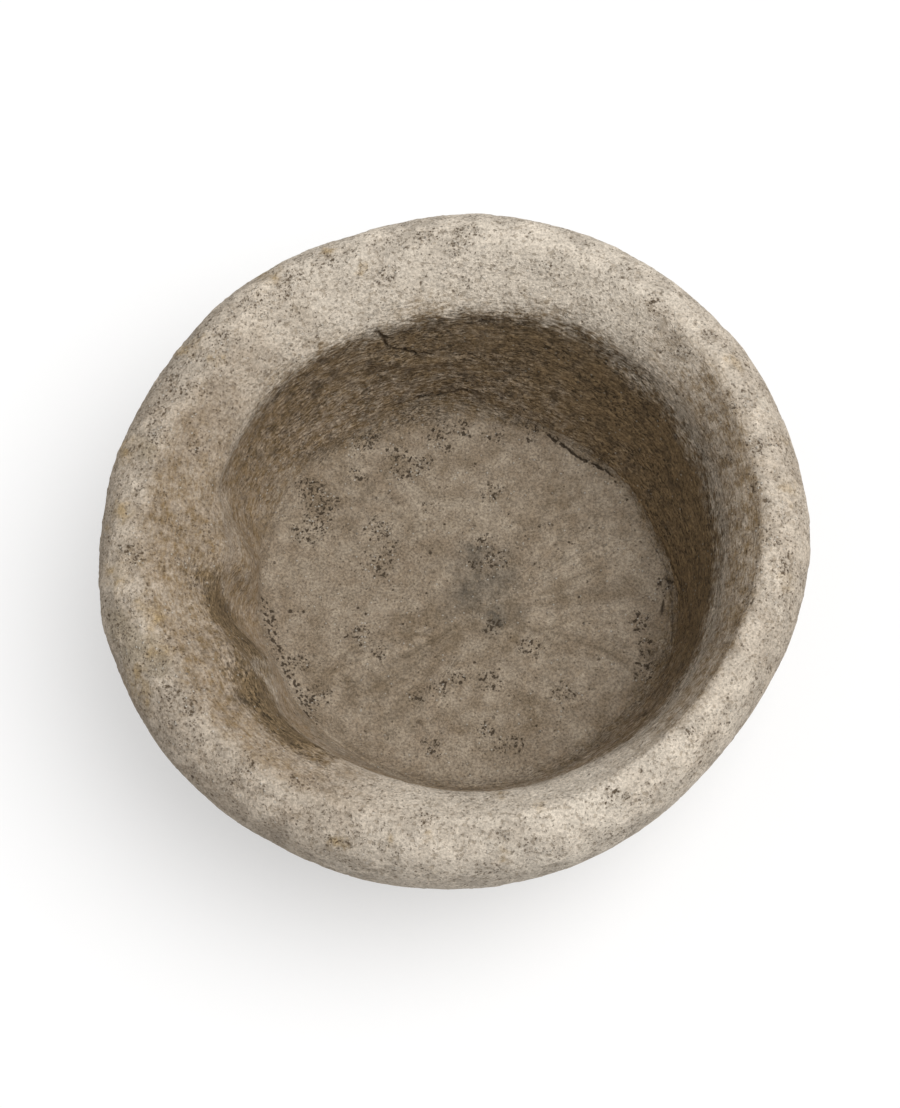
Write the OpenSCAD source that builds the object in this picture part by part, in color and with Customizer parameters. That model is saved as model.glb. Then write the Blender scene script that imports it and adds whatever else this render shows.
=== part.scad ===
// Hand-laid stone planter bowl: a thick round bowl with a rolled rim, and the mortar bed laid as its floor.
// Millimetres, +Z up. The origin is the middle of the foot, on the ground. +X is the bowl's right as
// photographed and +Y its back. Every section is taken through the axis of the rim.

/* [Bowl] */
// Outside diameter at the widest ring of the rim
rim_diameter = 530; // [460:5:600]
// Height from the ground to the highest point of the rim
bowl_height = 190; // [160:5:230]
// Diameter of the flat foot, without its rounded edge
foot_diameter = 330; // [260:5:360]
// Radius of the worn edge between the foot and the wall
foot_round = 9; // [4:1:14]

/* [Rim] */
// How far the widest ring lies under the crest
widest_drop = 42; // [25:1:60]
// How far the crest lies in from the widest ring
crest_inset = 33; // [24:1:42]
// How full the outside of the wall is: 1 is a cone, 3 is a deep belly
belly = 2.1; // [1.5:0.1:3]

/* [Hollow] */
// Diameter of the mouth, where the slope of the rim turns down into the wall
mouth_diameter = 374; // [350:2:400]
// How far the lip of the mouth lies under the crest
lip_drop = 25; // [15:1:40]
// How much the slope between the crest and the lip swells
slope_swell = 4; // [0:0.5:8]
// Diameter of the floor
floor_diameter = 316; // [260:2:330]
// Depth from the crest to the floor
floor_depth = 145; // [100:5:150]
// Height of the soft corner between the wall and the floor
cove = 12; // [4:1:20]
// How far the hollow's middle lies to the right of the rim's middle
hollow_shift = 14; // [0:1:20]

/* [Floor bed] */
// Thickness of the mortar bed that makes the floor
bed_thickness = 20; // [10:1:30]
// Width of the open seam between the bed and the wall
seam = 1.5; // [0.5:0.25:3]
// Radius of the bed's worn edge
bed_round = 2; // [1:0.5:4]

/* [Hand work] */
// How strongly the dents and swells of the hand work show: 0 is a true round
hand_work = 1; // [0:0.1:1.4]
// Number of sections round the bowl
sections = 96; // [48:8:96]

/* [Hidden] */

widest_height = bowl_height - widest_drop;
lip_height = bowl_height - lip_drop;
floor_height = bowl_height - floor_depth;
bed_seat = floor_height - bed_thickness;
// The bowl is laid up a little long and its foot is then ground flat at height 0
ground_off = 2;
// Points on the curve between two neighbouring control points of a section
curve_steps = 3;
// Share of the rim's swells that reaches the foot
foot_share = 0.4;
// Rings of facets on the floor bed's top, as shares of its radius
bed_rings = [0.8, 0.55, 0.3];

// Hand work in mm, at 24 directions 15 degrees apart: the right first, then the back, the left and the front
rim_out = [0, 0, 2, 2, 3, 2, 0, -5, -3, -3, -4, -2, 0, 3, 3, 2, 0, -1, -2, -4, -7, -11, -10, -5];
crest_sunk = [3, 2, 1, 2, 3, 2, 1, 1, 2, 4, 5, 4, 6, 5, 3, 5, 2, 1, 0, 1, 2, 2, 1, 2];
crest_in = [5, 5, 3, 0, -1, -1, 0, 0, 2, 3, 3, 2, 0, 1, 3, 2, 0, 0, 1, 0, -1, -2, -1, 2];
lip_out = [0, 1, 2, 1, 0, -2, -4, -4, -1, 4, 7, 6, -2, 9, 4, 11, 10, 9, 10, 9, 6, 6, 4, 1];
lip_sunk = [4, 3, 2, 1, 2, 4, 5, 4, 2, 1, 2, 6, 12, 8, 4, 6, 3, 1, 0, 1, 2, 3, 4, 5];
wall_out = [1, 3, 4, 3, 2, 1, 0, 1, 3, 5, 7, 7, -7, 4, -6, 4, 3, 1, 0, 0, 1, 2, 1, 0];
floor_out = [-5, -13, -15, -18, -20, -17, -7, -5, -5, -4, -3, 0, 2, 3, 2, 1, 0, 2, 3, 2, 0, -2, -1, -1];
bed_high = [0, 1, 2, 2, 1, 0, -1, 0, 1, 2, 1, 0, -1, -1, 0, 1, 1, 0, 0, -1, 0, 1, 1, 0];

// Catmull-Rom curve through p1 and p2, at t from 0 to 1 between them. It takes numbers or points.
function smooth(p0, p1, p2, p3, t) =
    p1 + (p2 - p0) * t / 2
    + (2 * p0 - 5 * p1 + 4 * p2 - p3) * t * t / 2
    + (3 * p1 - p0 - 3 * p2 + p3) * t * t * t / 2;

// A hand-work list read at any direction, with the list closed round the bowl
function around(list, direction) =
    let (
        n = len(list),
        place = direction / 360 * n,
        i = floor(place)
    )
    hand_work * smooth(
        list[(i + n - 1) % n], list[i % n], list[(i + 1) % n], list[(i + 2) % n], place - i
    );

// Distance from the rim's axis to a circle of radius r whose middle is hollow_shift to the right
function shifted(r, direction) =
    hollow_shift * cos(direction) + sqrt(r * r - pow(hollow_shift * sin(direction), 2));

// The sizes of one section, each a distance from the rim's axis at that direction
function rim_radius(a) = rim_diameter / 2 + around(rim_out, a);
function foot_radius(a) = foot_diameter / 2 + foot_share * around(rim_out, a);
function floor_radius(a) = shifted(floor_diameter / 2, a) + around(floor_out, a);
function lip_radius(a) = shifted(mouth_diameter / 2, a) + around(lip_out, a);

// Outside of the wall, at u from 0 at the foot to 1 at the widest ring
function outside(a, u) = [
    foot_radius(a) + (rim_radius(a) - foot_radius(a)) * (1 - pow(1 - u, belly)),
    foot_round / 2 + (widest_height - foot_round / 2) * u
];

// Top of the rim, at t from 0 at the widest ring to 90 at the crest
function over_rim(a, t) = [
    rim_radius(a) - (crest_inset + around(crest_in, a)) * (1 - cos(t)),
    widest_height + (widest_drop - around(crest_sunk, a)) * sin(t)
];

function lip(a) = [lip_radius(a), lip_height - around(lip_sunk, a)];

// Slope from the crest down to the lip, swelling in its middle
function slope(a) = (over_rim(a, 90) + lip(a)) / 2 + [0, slope_swell];

// Inside of the wall, at v from 0 at the lip to 1 at the top of the cove
function inside(a, v) = [
    lip(a)[0] + (floor_radius(a) + cove / 3 - lip(a)[0]) * v + around(wall_out, a) * sin(180 * v),
    lip(a)[1] + (floor_height + cove - lip(a)[1]) * v
];

// Control points of the bowl's section, from under the foot, up the outside and down to the floor
function bowl_controls(a) = [
    [foot_radius(a) - foot_round, -ground_off],
    outside(a, 0),
    outside(a, 0.12),
    outside(a, 0.32),
    outside(a, 0.65),
    outside(a, 1),
    over_rim(a, 45),
    over_rim(a, 90),
    slope(a),
    lip(a),
    inside(a, 0.2),
    inside(a, 0.5),
    inside(a, 0.8),
    inside(a, 1),
    [floor_radius(a), floor_height]
];

// A smooth curve through all control points, ends included
function curve(controls) = [
    for (i = [0 : len(controls) - 2], k = [0 : curve_steps - 1])
        smooth(
            controls[max(i - 1, 0)], controls[i], controls[i + 1],
            controls[min(i + 2, len(controls) - 1)], k / curve_steps
        ),
    controls[len(controls) - 1]
];

function bowl_section(a) = concat(curve(bowl_controls(a)), [[floor_radius(a), bed_seat]]);

// The bed from its seat up its side and over its top, a seam inside the wall of its recess
function bed_section(a) =
    let (r = floor_radius(a) - seam)
    concat(
        [[r, bed_seat], [r, floor_height - bed_round], [r - bed_round, floor_height]],
        [for (share = bed_rings) [r * share, floor_height + around(bed_high, a) * (1 - share)]]
    );

// A closed skin through one section for each direction, shut by a middle point at each end
module laid_up(section, low, high) {
    cuts = [for (i = [0 : sections - 1]) section(i * 360 / sections)];
    n = len(cuts[0]);
    skin = [
        for (i = [0 : sections - 1], p = cuts[i])
            let (a = i * 360 / sections)
            [p[0] * cos(a), p[0] * sin(a), p[1]]
    ];
    middles = [[0, 0, low], [0, 0, high]];
    walls = [
        for (i = [0 : sections - 1], j = [0 : n - 2])
            let (
                here = i * n + j,
                next = (i + 1) % sections * n + j
            )
            each [[here, here + 1, next + 1], [here, next + 1, next]]
    ];
    ends = [
        for (i = [0 : sections - 1])
            let (
                here = i * n,
                next = (i + 1) % sections * n
            )
            each [[sections * n, here, next], [sections * n + 1, next + n - 1, here + n - 1]]
    ];
    polyhedron(concat(skin, middles), concat(walls, ends));
}

module bowl_body() {
    color("#b7ad9f")
    difference() {
        laid_up(function (a) bowl_section(a), -ground_off, bed_seat);
        // The foot is ground flat
        translate([-rim_diameter, -rim_diameter, -2 * ground_off])
            cube([2 * rim_diameter, 2 * rim_diameter, 2 * ground_off]);
    }
}

module floor_bed() {
    color("#96897a")
    laid_up(function (a) bed_section(a), bed_seat, floor_height);
}

bowl_body();
floor_bed();
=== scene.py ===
# %% [markdown]
# A hand-laid stone planter bowl
#
# The object is a heavy round bowl for plants. Somebody built it up by hand from a stiff mix of stone grit,
# sand and lime, rolled its rim over, brushed the hollow while it was wet and then trowelled a bed of mortar
# in as its floor. This lesson makes its two pieces as meshes, gives each one a stone material and lights
# them as in a studio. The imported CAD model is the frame: it says where every surface is, in metres.

# %% Load the frame
import math

import bpy
import numpy as np
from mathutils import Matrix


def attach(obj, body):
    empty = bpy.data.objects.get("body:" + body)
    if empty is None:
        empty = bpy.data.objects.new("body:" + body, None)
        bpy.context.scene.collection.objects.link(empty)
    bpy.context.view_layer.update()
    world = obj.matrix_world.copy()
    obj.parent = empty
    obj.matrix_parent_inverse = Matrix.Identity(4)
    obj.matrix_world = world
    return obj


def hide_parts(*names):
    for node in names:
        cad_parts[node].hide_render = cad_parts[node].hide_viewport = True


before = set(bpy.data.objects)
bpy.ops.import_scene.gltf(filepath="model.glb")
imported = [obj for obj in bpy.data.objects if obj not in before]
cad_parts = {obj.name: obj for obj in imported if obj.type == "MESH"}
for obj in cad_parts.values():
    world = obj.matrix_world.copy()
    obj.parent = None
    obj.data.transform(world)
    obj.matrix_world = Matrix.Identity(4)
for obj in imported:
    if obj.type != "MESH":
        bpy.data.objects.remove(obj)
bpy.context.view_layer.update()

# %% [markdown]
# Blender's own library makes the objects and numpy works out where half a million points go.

MM = 0.001

# %% [markdown]
# The camera comes first, because the picture decides how much detail a surface needs. The photographer
# stood close over the bowl and looked down on it at 70 degrees. A long lens keeps the rim from looking
# stretched. The camera and its aim are moved a few millimetres to the left and down the picture, so that the
# bowl sits where it sits in the photograph.

# %% Camera
VIEW_HEIGHT_ANGLE = math.radians(70)
VIEW_DISTANCE = 2.2
AIM_HEIGHT = 0.148
LENS_MM, SENSOR_MM = 96.3, 36
SHIFT_LEFT, SHIFT_DOWN = 0.0037, 0.0097

camera = bpy.data.objects.new("Camera", bpy.data.cameras.new("Camera"))
bpy.context.scene.collection.objects.link(camera)
bpy.context.scene.camera = camera
camera.data.lens = LENS_MM
camera.data.sensor_width = SENSOR_MM
camera.rotation_euler = (math.pi / 2 - VIEW_HEIGHT_ANGLE, 0, 0)
camera.location = (
    -SHIFT_LEFT,
    -VIEW_DISTANCE * math.cos(VIEW_HEIGHT_ANGLE) - SHIFT_DOWN * math.sin(VIEW_HEIGHT_ANGLE),
    AIM_HEIGHT + VIEW_DISTANCE * math.sin(VIEW_HEIGHT_ANGLE) - SHIFT_DOWN * math.cos(VIEW_HEIGHT_ANGLE),
)
print("camera at", [round(v, 3) for v in camera.location])

# %% [markdown]
# The photograph has soft light from above with a little more of it from the right, so that the right wall
# of the hollow is its darkest part. One sun lamp with a very wide angle gives such a light, and it is as
# strong at the edge of the floor as in the middle. The world adds the rest from all sides. Both together
# are kept at a level at which a level surface renders about as bright as its colour is written.

# %% Lamp
LAMP_FROM_RIGHT_TOWARDS_BACK = math.radians(4)
LAMP_HEIGHT_ANGLE = math.radians(66)
LAMP_SPREAD = math.radians(50)
LAMP_STRENGTH = 2.25
WORLD_STRENGTH = 0.4

lamp = bpy.data.objects.new("SoftLamp", bpy.data.lights.new("SoftLamp", "SUN"))
bpy.context.scene.collection.objects.link(lamp)
lamp.data.energy = LAMP_STRENGTH
lamp.data.angle = LAMP_SPREAD
lamp.rotation_euler = (0, math.pi / 2 - LAMP_HEIGHT_ANGLE, LAMP_FROM_RIGHT_TOWARDS_BACK)
level = WORLD_STRENGTH + LAMP_STRENGTH * math.sin(LAMP_HEIGHT_ANGLE) / math.pi
print("light level on a level surface:", round(level, 2))

# %% [markdown]
# The background is pure white in the photograph. More light would also bleach the stone, so the world is
# white only where the camera, a mirror or glass looks straight at it, and dimmer for the light that it
# sends to the bowl. The Light Path node tells the two apart.

# %% World
SKY_COLOUR = (1.0, 0.99, 0.98, 1)
WHITE = (1, 1, 1, 1)


def link(tree, source, target):
    """Joins two sockets of a node tree."""
    tree.links.new(source, target)


def seen_directly(tree):
    """1 where the camera, a mirror or glass looks straight at the surface, 0 for light that bounces."""
    path = tree.nodes.new("ShaderNodeLightPath")
    first = tree.nodes.new("ShaderNodeMath")
    first.operation = "MAXIMUM"
    link(tree, path.outputs["Is Camera Ray"], first.inputs[0])
    link(tree, path.outputs["Is Glossy Ray"], first.inputs[1])
    both = tree.nodes.new("ShaderNodeMath")
    both.operation = "MAXIMUM"
    link(tree, first.outputs[0], both.inputs[0])
    link(tree, path.outputs["Is Transmission Ray"], both.inputs[1])
    return both.outputs[0]


world = bpy.data.worlds.new("Studio")
bpy.context.scene.world = world
world.use_nodes = True
sky = world.node_tree
sky.nodes.clear()
fill = sky.nodes.new("ShaderNodeBackground")
fill.inputs["Color"].default_value = SKY_COLOUR
fill.inputs["Strength"].default_value = WORLD_STRENGTH
white = sky.nodes.new("ShaderNodeBackground")
white.inputs["Color"].default_value = WHITE
white.inputs["Strength"].default_value = 1
choice = sky.nodes.new("ShaderNodeMixShader")
world_out = sky.nodes.new("ShaderNodeOutputWorld")
link(sky, seen_directly(sky), choice.inputs["Fac"])
link(sky, fill.outputs[0], choice.inputs[1])
link(sky, white.outputs[0], choice.inputs[2])
link(sky, choice.outputs[0], world_out.inputs["Surface"])
bpy.context.scene.view_settings.view_transform = "Standard"
print("world:", world.name)

# %% [markdown]
# The floor of the studio is plain and pale. To the camera it glows a little by itself, so that it is nearly
# white and the bowl's soft shadow on it stays faint. To the light that bounces it is a plain pale grey, so
# that it doesn't light the wall of the bowl from below more than a real floor does.

# %% Studio floor
FLOOR_REACH = 12.0
FLOOR_SEEN = 0.5
FLOOR_GLOW = 0.5
FLOOR_BOUNCING = 0.62

floor_mesh = bpy.data.meshes.new("StudioFloor")
r = FLOOR_REACH
floor_mesh.from_pydata([(-r, -r, 0), (r, -r, 0), (r, r, 0), (-r, r, 0)], [], [(0, 1, 2, 3)])
studio_floor = bpy.data.objects.new("StudioFloor", floor_mesh)
bpy.context.scene.collection.objects.link(studio_floor)
pale = bpy.data.materials.new("StudioFloor")
pale.use_nodes = True
tree = pale.node_tree
tree.nodes.clear()
bouncing = tree.nodes.new("ShaderNodeBsdfDiffuse")
bouncing.inputs["Color"].default_value = (FLOOR_BOUNCING,) * 3 + (1,)
seen = tree.nodes.new("ShaderNodeBsdfDiffuse")
seen.inputs["Color"].default_value = (FLOOR_SEEN,) * 3 + (1,)
glow = tree.nodes.new("ShaderNodeEmission")
glow.inputs["Color"].default_value = WHITE
glow.inputs["Strength"].default_value = FLOOR_GLOW
lifted = tree.nodes.new("ShaderNodeAddShader")
choice = tree.nodes.new("ShaderNodeMixShader")
out = tree.nodes.new("ShaderNodeOutputMaterial")
link(tree, seen.outputs[0], lifted.inputs[0])
link(tree, glow.outputs[0], lifted.inputs[1])
link(tree, seen_directly(tree), choice.inputs["Fac"])
link(tree, bouncing.outputs[0], choice.inputs[1])
link(tree, lifted.outputs[0], choice.inputs[2])
link(tree, choice.outputs[0], out.inputs["Surface"])
studio_floor.data.materials.append(pale)
print("floor reaches", FLOOR_REACH, "m each way")

# %% [markdown]
# The CAD solids are facets between 96 sections round the bowl's axis. The stone needs a far finer skin, so
# each section is read back from the frame as an ordered line of points, and a smooth surface is drawn
# through them all. A subdivision surface would also smooth the facets, but it would pull the surface in
# from the CAD points, and this way passes through them.

# %% Read the sections of a CAD solid
DIRECTIONS = 96
SAME_POINT = 5  # decimals of a metre
NEAR_DIRECTION = 0.01  # of the step between two directions
NEAR_AXIS = 0.005
ON_GROUND = 0.1 * MM


def in_order(radius, height):
    """The points of one section as a line: the innermost lowest one, its nearest neighbour and so on."""
    left = list(range(len(radius)))
    line = [min(left, key=lambda i: (height[i] > ON_GROUND, radius[i] - max(height[i], 0)))]
    left.remove(line[0])
    while left:
        last = line[-1]
        nearest = min(left, key=lambda i: math.hypot(radius[i] - radius[last], height[i] - height[last]))
        line.append(nearest)
        left.remove(nearest)
    return [(radius[i], height[i]) for i in line]


def read_sections(node):
    """Distance from the axis and height of every section point, one row for each direction."""
    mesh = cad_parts[node].data
    corners = np.empty(3 * len(mesh.vertices))
    mesh.vertices.foreach_get("co", corners)
    points = np.unique(np.round(corners.reshape(-1, 3), SAME_POINT), axis=0)
    turn = np.degrees(np.arctan2(points[:, 1], points[:, 0])) * DIRECTIONS / 360 % DIRECTIONS
    radius = np.hypot(points[:, 0], points[:, 1])
    kept = (np.abs(turn - np.round(turn)) < NEAR_DIRECTION) & (radius > NEAR_AXIS)
    direction = np.round(turn).astype(int) % DIRECTIONS
    lines = []
    for d in range(DIRECTIONS):
        chosen = kept & (direction == d)
        lines.append(in_order(radius[chosen], points[chosen, 2]))
    return np.array(lines)


bowl_sections = read_sections("bowl_body")
bed_sections = read_sections("floor_bed")
print("bowl:", bowl_sections.shape, "bed:", bed_sections.shape)
print("first bowl section, mm:", [tuple(round(v / MM) for v in p) for p in bowl_sections[0]])
print("first bed section, mm:", [tuple(round(v / MM) for v in p) for p in bed_sections[0]])

# %% [markdown]
# A Catmull-Rom curve passes through every one of its points and needs only four of them at a time. First
# the sections are drawn at many more directions, and then each of them is drawn with many more points.
# Where the part changes direction sharply, at the edge of the floor, the curve ends and a plain wall begins.
# The rim and the hollow face the camera, so their points lie closer together than those outside.

# %% Curves through the sections
# Places along a section are counted in CAD points, from 0 at the foot to 42 at the bed's seat
FOOT, WIDEST, CREST, LIP, FLOOR_EDGE = 0, 14, 20, 26, 41
COLUMNS = 1440
OUTSIDE_STEP = 1.9 * MM
INSIDE_STEP = 0.95 * MM


def four_weights(t):
    """How much each of the four points round a place counts, for t from 0 to 1 between the middle two."""
    return np.stack([
        (-t + 2 * t ** 2 - t ** 3) / 2,
        1 + (-5 * t ** 2 + 3 * t ** 3) / 2,
        (t + 4 * t ** 2 - 3 * t ** 3) / 2,
        (-t ** 2 + t ** 3) / 2,
    ], axis=-1)


def drawn_round(sections, columns):
    """The same sections at more directions, on curves that close round the axis."""
    place = np.arange(columns) * len(sections) / columns
    first = np.floor(place).astype(int)
    weights = four_weights(place - first)
    return sum(weights[:, k, None, None] * sections[(first + k - 1) % len(sections)] for k in range(4))


def drawn_along(sections, places):
    """Points at these places along every section."""
    last = sections.shape[1] - 1
    first = np.clip(np.floor(places).astype(int), 0, last - 1)
    weights = four_weights(places - first)
    return sum(weights[None, :, k, None] * sections[:, np.clip(first + k - 1, 0, last)] for k in range(4))


def even_places(sections, first, last, step):
    """Places from the first point to the last, about one step apart on the mean section."""
    lengths = np.hypot(*np.diff(sections.mean(0), axis=0).T)
    places = []
    for i in range(first, last):
        count = max(1, round(lengths[i] / step))
        places.extend(i + np.arange(count) / count)
    return np.array(places)


places = np.concatenate([
    even_places(bowl_sections, FOOT, WIDEST, OUTSIDE_STEP),
    even_places(bowl_sections, WIDEST, FLOOR_EDGE, INSIDE_STEP),
    [FLOOR_EDGE],
])
fine = drawn_along(drawn_round(bowl_sections[:, :FLOOR_EDGE + 1], COLUMNS), places)
print("skin of the bowl:", fine.shape[0], "columns of", fine.shape[1], "points")

# %% [markdown]
# The skin's points come from each column's direction. The relief of the stone will push every point along
# the direction that the skin faces there, which is square to its two neighbours round and along the bowl.

# %% Points and outward directions of the skin
ALMOST_NOTHING = 1e-12  # keeps a division from being by zero
angle = (2 * math.pi * np.arange(COLUMNS) / COLUMNS)[:, None]
radius, height = fine[:, :, 0], np.maximum(fine[:, :, 1], 0)


def outward(points):
    """Unit vectors square to a skin whose columns close round the axis."""
    around = np.roll(points, -1, axis=0) - np.roll(points, 1, axis=0)
    normal = np.cross(around, np.gradient(points, axis=1))
    return normal / np.maximum(np.linalg.norm(normal, axis=-1, keepdims=True), ALMOST_NOTHING)


skin = np.stack([radius * np.cos(angle), radius * np.sin(angle), height], axis=-1)
facing = outward(skin)
steps = np.linalg.norm(np.diff(skin, axis=1), axis=-1).mean(0)
travel = np.concatenate([[0], np.cumsum(steps)])
print("way along a section from foot to floor:", round(travel[-1] / MM), "mm")
print("the skin faces", np.round(facing[0, np.argmin(abs(places - WIDEST))], 2), "at the widest ring")

# %% [markdown]
# Stone laid by hand is uneven at every scale: wide swells from the palms, small lumps from the fingers and
# the grit itself. Random heights that change smoothly make all of these, each with its own cell size. The
# pattern below is gradient noise: each corner of a cube of cells has a random slope, and the slopes are
# blended in between. It is written out here, because the shader's own noise can't move a mesh's points.

# %% Smooth noise in space
CHANCE = np.random.default_rng(1908)
SHUFFLED = CHANCE.permutation(256).astype(np.int32)
SLOPES = CHANCE.normal(size=(3, 256))
SLOPES = (SLOPES / np.linalg.norm(SLOPES, axis=0)).astype(np.float32)
CORNERS = [(x, y, z) for x in (0, 1) for y in (0, 1) for z in (0, 1)]
FULL_SWING = 1.7  # brings the noise to about -1 to 1
AT_A_TIME = 20000  # points, few enough to stay in the computer's fastest memory
PATTERN_APART, OFF_CORNER = 17.3, 0.37  # in cells, so that two patterns never share their corners


def by_pieces(function, columns):
    """What a function makes of the columns of a table, worked out for some thousand rows at a time."""
    rows = columns.reshape(-1, columns.shape[-1])
    result = np.empty(len(rows), np.float32)
    for start in range(0, len(rows), AT_A_TIME):
        result[start:start + AT_A_TIME] = function(*rows[start:start + AT_A_TIME].T.astype(np.float32))
    return result.reshape(columns.shape[:-1])


def cell_number(x, y, z):
    """A random number from 0 to 255 that belongs to one cell."""
    return SHUFFLED[(SHUFFLED[(SHUFFLED[x & 255] + y) & 255] + z) & 255]


def noise_at(x, y, z):
    """Gradient noise at places counted in cells."""
    lows = [np.floor(v) for v in (x, y, z)]
    cells = [low.astype(np.int32) for low in lows]
    inside = [v - low for v, low in zip((x, y, z), lows)]
    eased = [t * t * t * (t * (t * 6 - 15) + 10) for t in inside]
    total = np.zeros(x.shape, np.float32)
    for corner in CORNERS:
        number = cell_number(*(c + step for c, step in zip(cells, corner)))
        share, height = FULL_SWING, 0
        for k, step in enumerate(corner):
            share = share * (eased[k] if step else 1 - eased[k])
            height = height + SLOPES[k][number] * (inside[k] - step)
        total += share * height
    return total


def noise(points, cell, apart=0):
    """Smooth noise from about -1 to 1 with one bump or dent in each cell. Another `apart` is another pattern."""
    return by_pieces(noise_at, points / cell + PATTERN_APART * apart + OFF_CORNER)


print("noise at three places:", np.round(noise(skin[:3, 0], 0.02), 2))

# %% [markdown]
# One layer of noise looks like soft hills. Stone needs several, each finer and weaker than the one before.
# Three patterns at once make a push in any direction, which turns a clean edge into a ragged one. The last
# helper turns a value into a smooth share from 0 to 1, and nearly every mark below uses it.

# %% Layers of noise, pushes and ramps
def layered(points, cell, layers, apart=0):
    """Noise with finer and weaker noise on top of it."""
    total = sum(noise(points, cell / 2 ** k, apart + k) / 2 ** k for k in range(layers))
    return total / sum(1 / 2 ** k for k in range(layers))


def pushed_about(points, cell, apart=0):
    """A push in each of the three directions, from three patterns of noise."""
    return np.stack([noise(points, cell, apart + k) for k in range(3)], axis=-1)


def ramp(value, start, end):
    """0 at start, 1 at end and smooth between them."""
    t = np.clip((value - start) / (end - start), 0, 1)
    return t * t * (3 - 2 * t)


test = layered(skin[::10, ::10], 0.02, 3)
print("three layers of noise from", round(float(test.min()), 2), "to", round(float(test.max()), 2),
      "and a tenth of it above", round(float(np.quantile(test, 0.9)), 2))

# %% [markdown]
# Pin holes are where air or a lost grain left a hollow. Each cell of a second pattern holds one hole at a
# random spot, with its own width, or none at all. The pattern's points are first pushed about by fine
# noise, so that the edges are ragged. Broken ground, where the outer paste has crumbled, looks different: its
# holes run into each other. Cutting fine noise at a level gives that look.

# %% Pin holes and broken ground
HOLE_REACH = 0.5  # a hole is never wider than half its cell each way
HOLES_APART = 31.7  # cells between one pattern of holes and the next
MIDDLE_DRAWS, SIZE_DRAW, THERE_DRAW = (0, 101, 53), 7, 29  # pick different random numbers of one cell
HOLE_FLOOR = 0.35  # share of a hole's width at which it is deepest
BREAK_EDGE = 0.22  # how far above the level broken ground is at its deepest


def holes(points, cell, share, apart=0, ragged=0.35, narrowest=0.3):
    """How deep in a hole each point is, from 0 on the plain surface to 1 at a hole's middle. `share` is the
    part of the cells that hold one, and may change over the surface."""
    scaled = points / cell + HOLES_APART * apart + ragged * pushed_about(points, cell * 0.45, apart + 40)

    def holes_at(x, y, z, chance):
        near = [np.floor(v - HOLE_REACH).astype(np.int32) for v in (x, y, z)]
        deepest = np.zeros(x.shape, np.float32)
        for corner in CORNERS:
            cell_at = [n + step for n, step in zip(near, corner)]
            number = cell_number(*cell_at)
            middle = [c + SHUFFLED[(number + draw) & 255] / 255 for c, draw in zip(cell_at, MIDDLE_DRAWS)]
            size = (SHUFFLED[(number + SIZE_DRAW) & 255] / 255) ** 2
            width = HOLE_REACH * (narrowest + (1 - narrowest) * size)
            away = np.sqrt(sum((v - m) ** 2 for v, m in zip((x, y, z), middle))) / width
            there = ramp(chance - SHUFFLED[(number + THERE_DRAW) & 255] / 255, 0, 0.04)
            deepest = np.maximum(deepest, there * ramp(away, 1, HOLE_FLOOR))
        return deepest

    chances = np.broadcast_to(share, points.shape[:-1])[..., None]
    return by_pieces(holes_at, np.concatenate([scaled, chances], axis=-1))


def broken(points, cell, level, apart=0):
    """Holes that run into each other, where two layers of noise are above a level."""
    value = layered(points, cell, 2, apart)
    return ramp(value, level, level + BREAK_EDGE)


test = holes(skin[::4, ::4], 0.006, 0.3)
print("points in a hole:", round(100 * float((test > 0.3).mean()), 1), "%")

# %% [markdown]
# Marks that the photograph shows in one place, such as a crack or a fold, are listed one by one. Each place is
# given in millimetres in the CAD's frame: to the right, to the back and up. A line may be a narrow ragged
# groove or a soft furrow. Only the points in a box round the line are worked out, which saves time.

# %% Grooves and furrows along lines
def spots(*places_mm):
    """Places in metres from places in millimetres."""
    return [np.array(p) * MM for p in places_mm]


def distance_to_line(points, line):
    """Distance from each point to a line of straight stretches, and how far along it that is, from 0 to 1."""
    lengths = [np.linalg.norm(b - a) for a, b in zip(line, line[1:])]
    nearest = np.full(points.shape[:-1], np.inf)
    along = np.zeros(points.shape[:-1])
    walked = 0.0
    for a, b, length in zip(line, line[1:], lengths):
        t = np.clip(((points - a) @ (b - a)) / length ** 2, 0, 1)
        away = np.linalg.norm(points - a - t[..., None] * (b - a), axis=-1)
        closer = away < nearest
        nearest = np.where(closer, away, nearest)
        along = np.where(closer, (walked + t * length) / sum(lengths), along)
        walked += length
    return nearest, along


def near_to(points, line, reach):
    """Which points lie in a box round a line."""
    low, high = np.min(line, axis=0) - reach, np.max(line, axis=0) + reach
    return ((points > low) & (points < high)).all(-1)


THINNEST = 0.01 * MM


def groove(points, line, width, apart=0, ragged=0.5):
    """1 in the middle of a ragged groove along a line and 0 beside it, fading out at its two ends."""
    near = near_to(points, line, 3 * width)
    depth = np.zeros(points.shape[:-1])
    chosen = points[near]
    wander = 0.6 * width * pushed_about(chosen, 3 * width, 64 + apart)
    away, along = distance_to_line(chosen + wander, line)
    rough = 1 + ragged * noise(chosen, 2.5 * width, 60 + apart) + 0.6 * ragged * noise(chosen, width, 70 + apart)
    half = width / 2 * rough * ramp(along, 0, 0.12) * ramp(along, 1, 0.88)
    depth[near] = ramp(away, np.maximum(half * 1.6, THINNEST), half * 0.4)
    return depth


def furrow(points, line, width, fade=0.25):
    """1 in the middle of a soft furrow or fold along a line, falling smoothly to 0 at its width."""
    near = near_to(points, line, width)
    depth = np.zeros(points.shape[:-1])
    away, along = distance_to_line(points[near], line)
    first_end = 1 - fade + fade * ramp(along, 0, 0.3)
    last_end = 1 - fade + fade * ramp(along, 1, 0.7)
    depth[near] = ramp(away, width, 0) * first_end * last_end
    return depth


print("a place 250 mm to the right and 180 mm up:", spots((250, 0, 180))[0])

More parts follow.
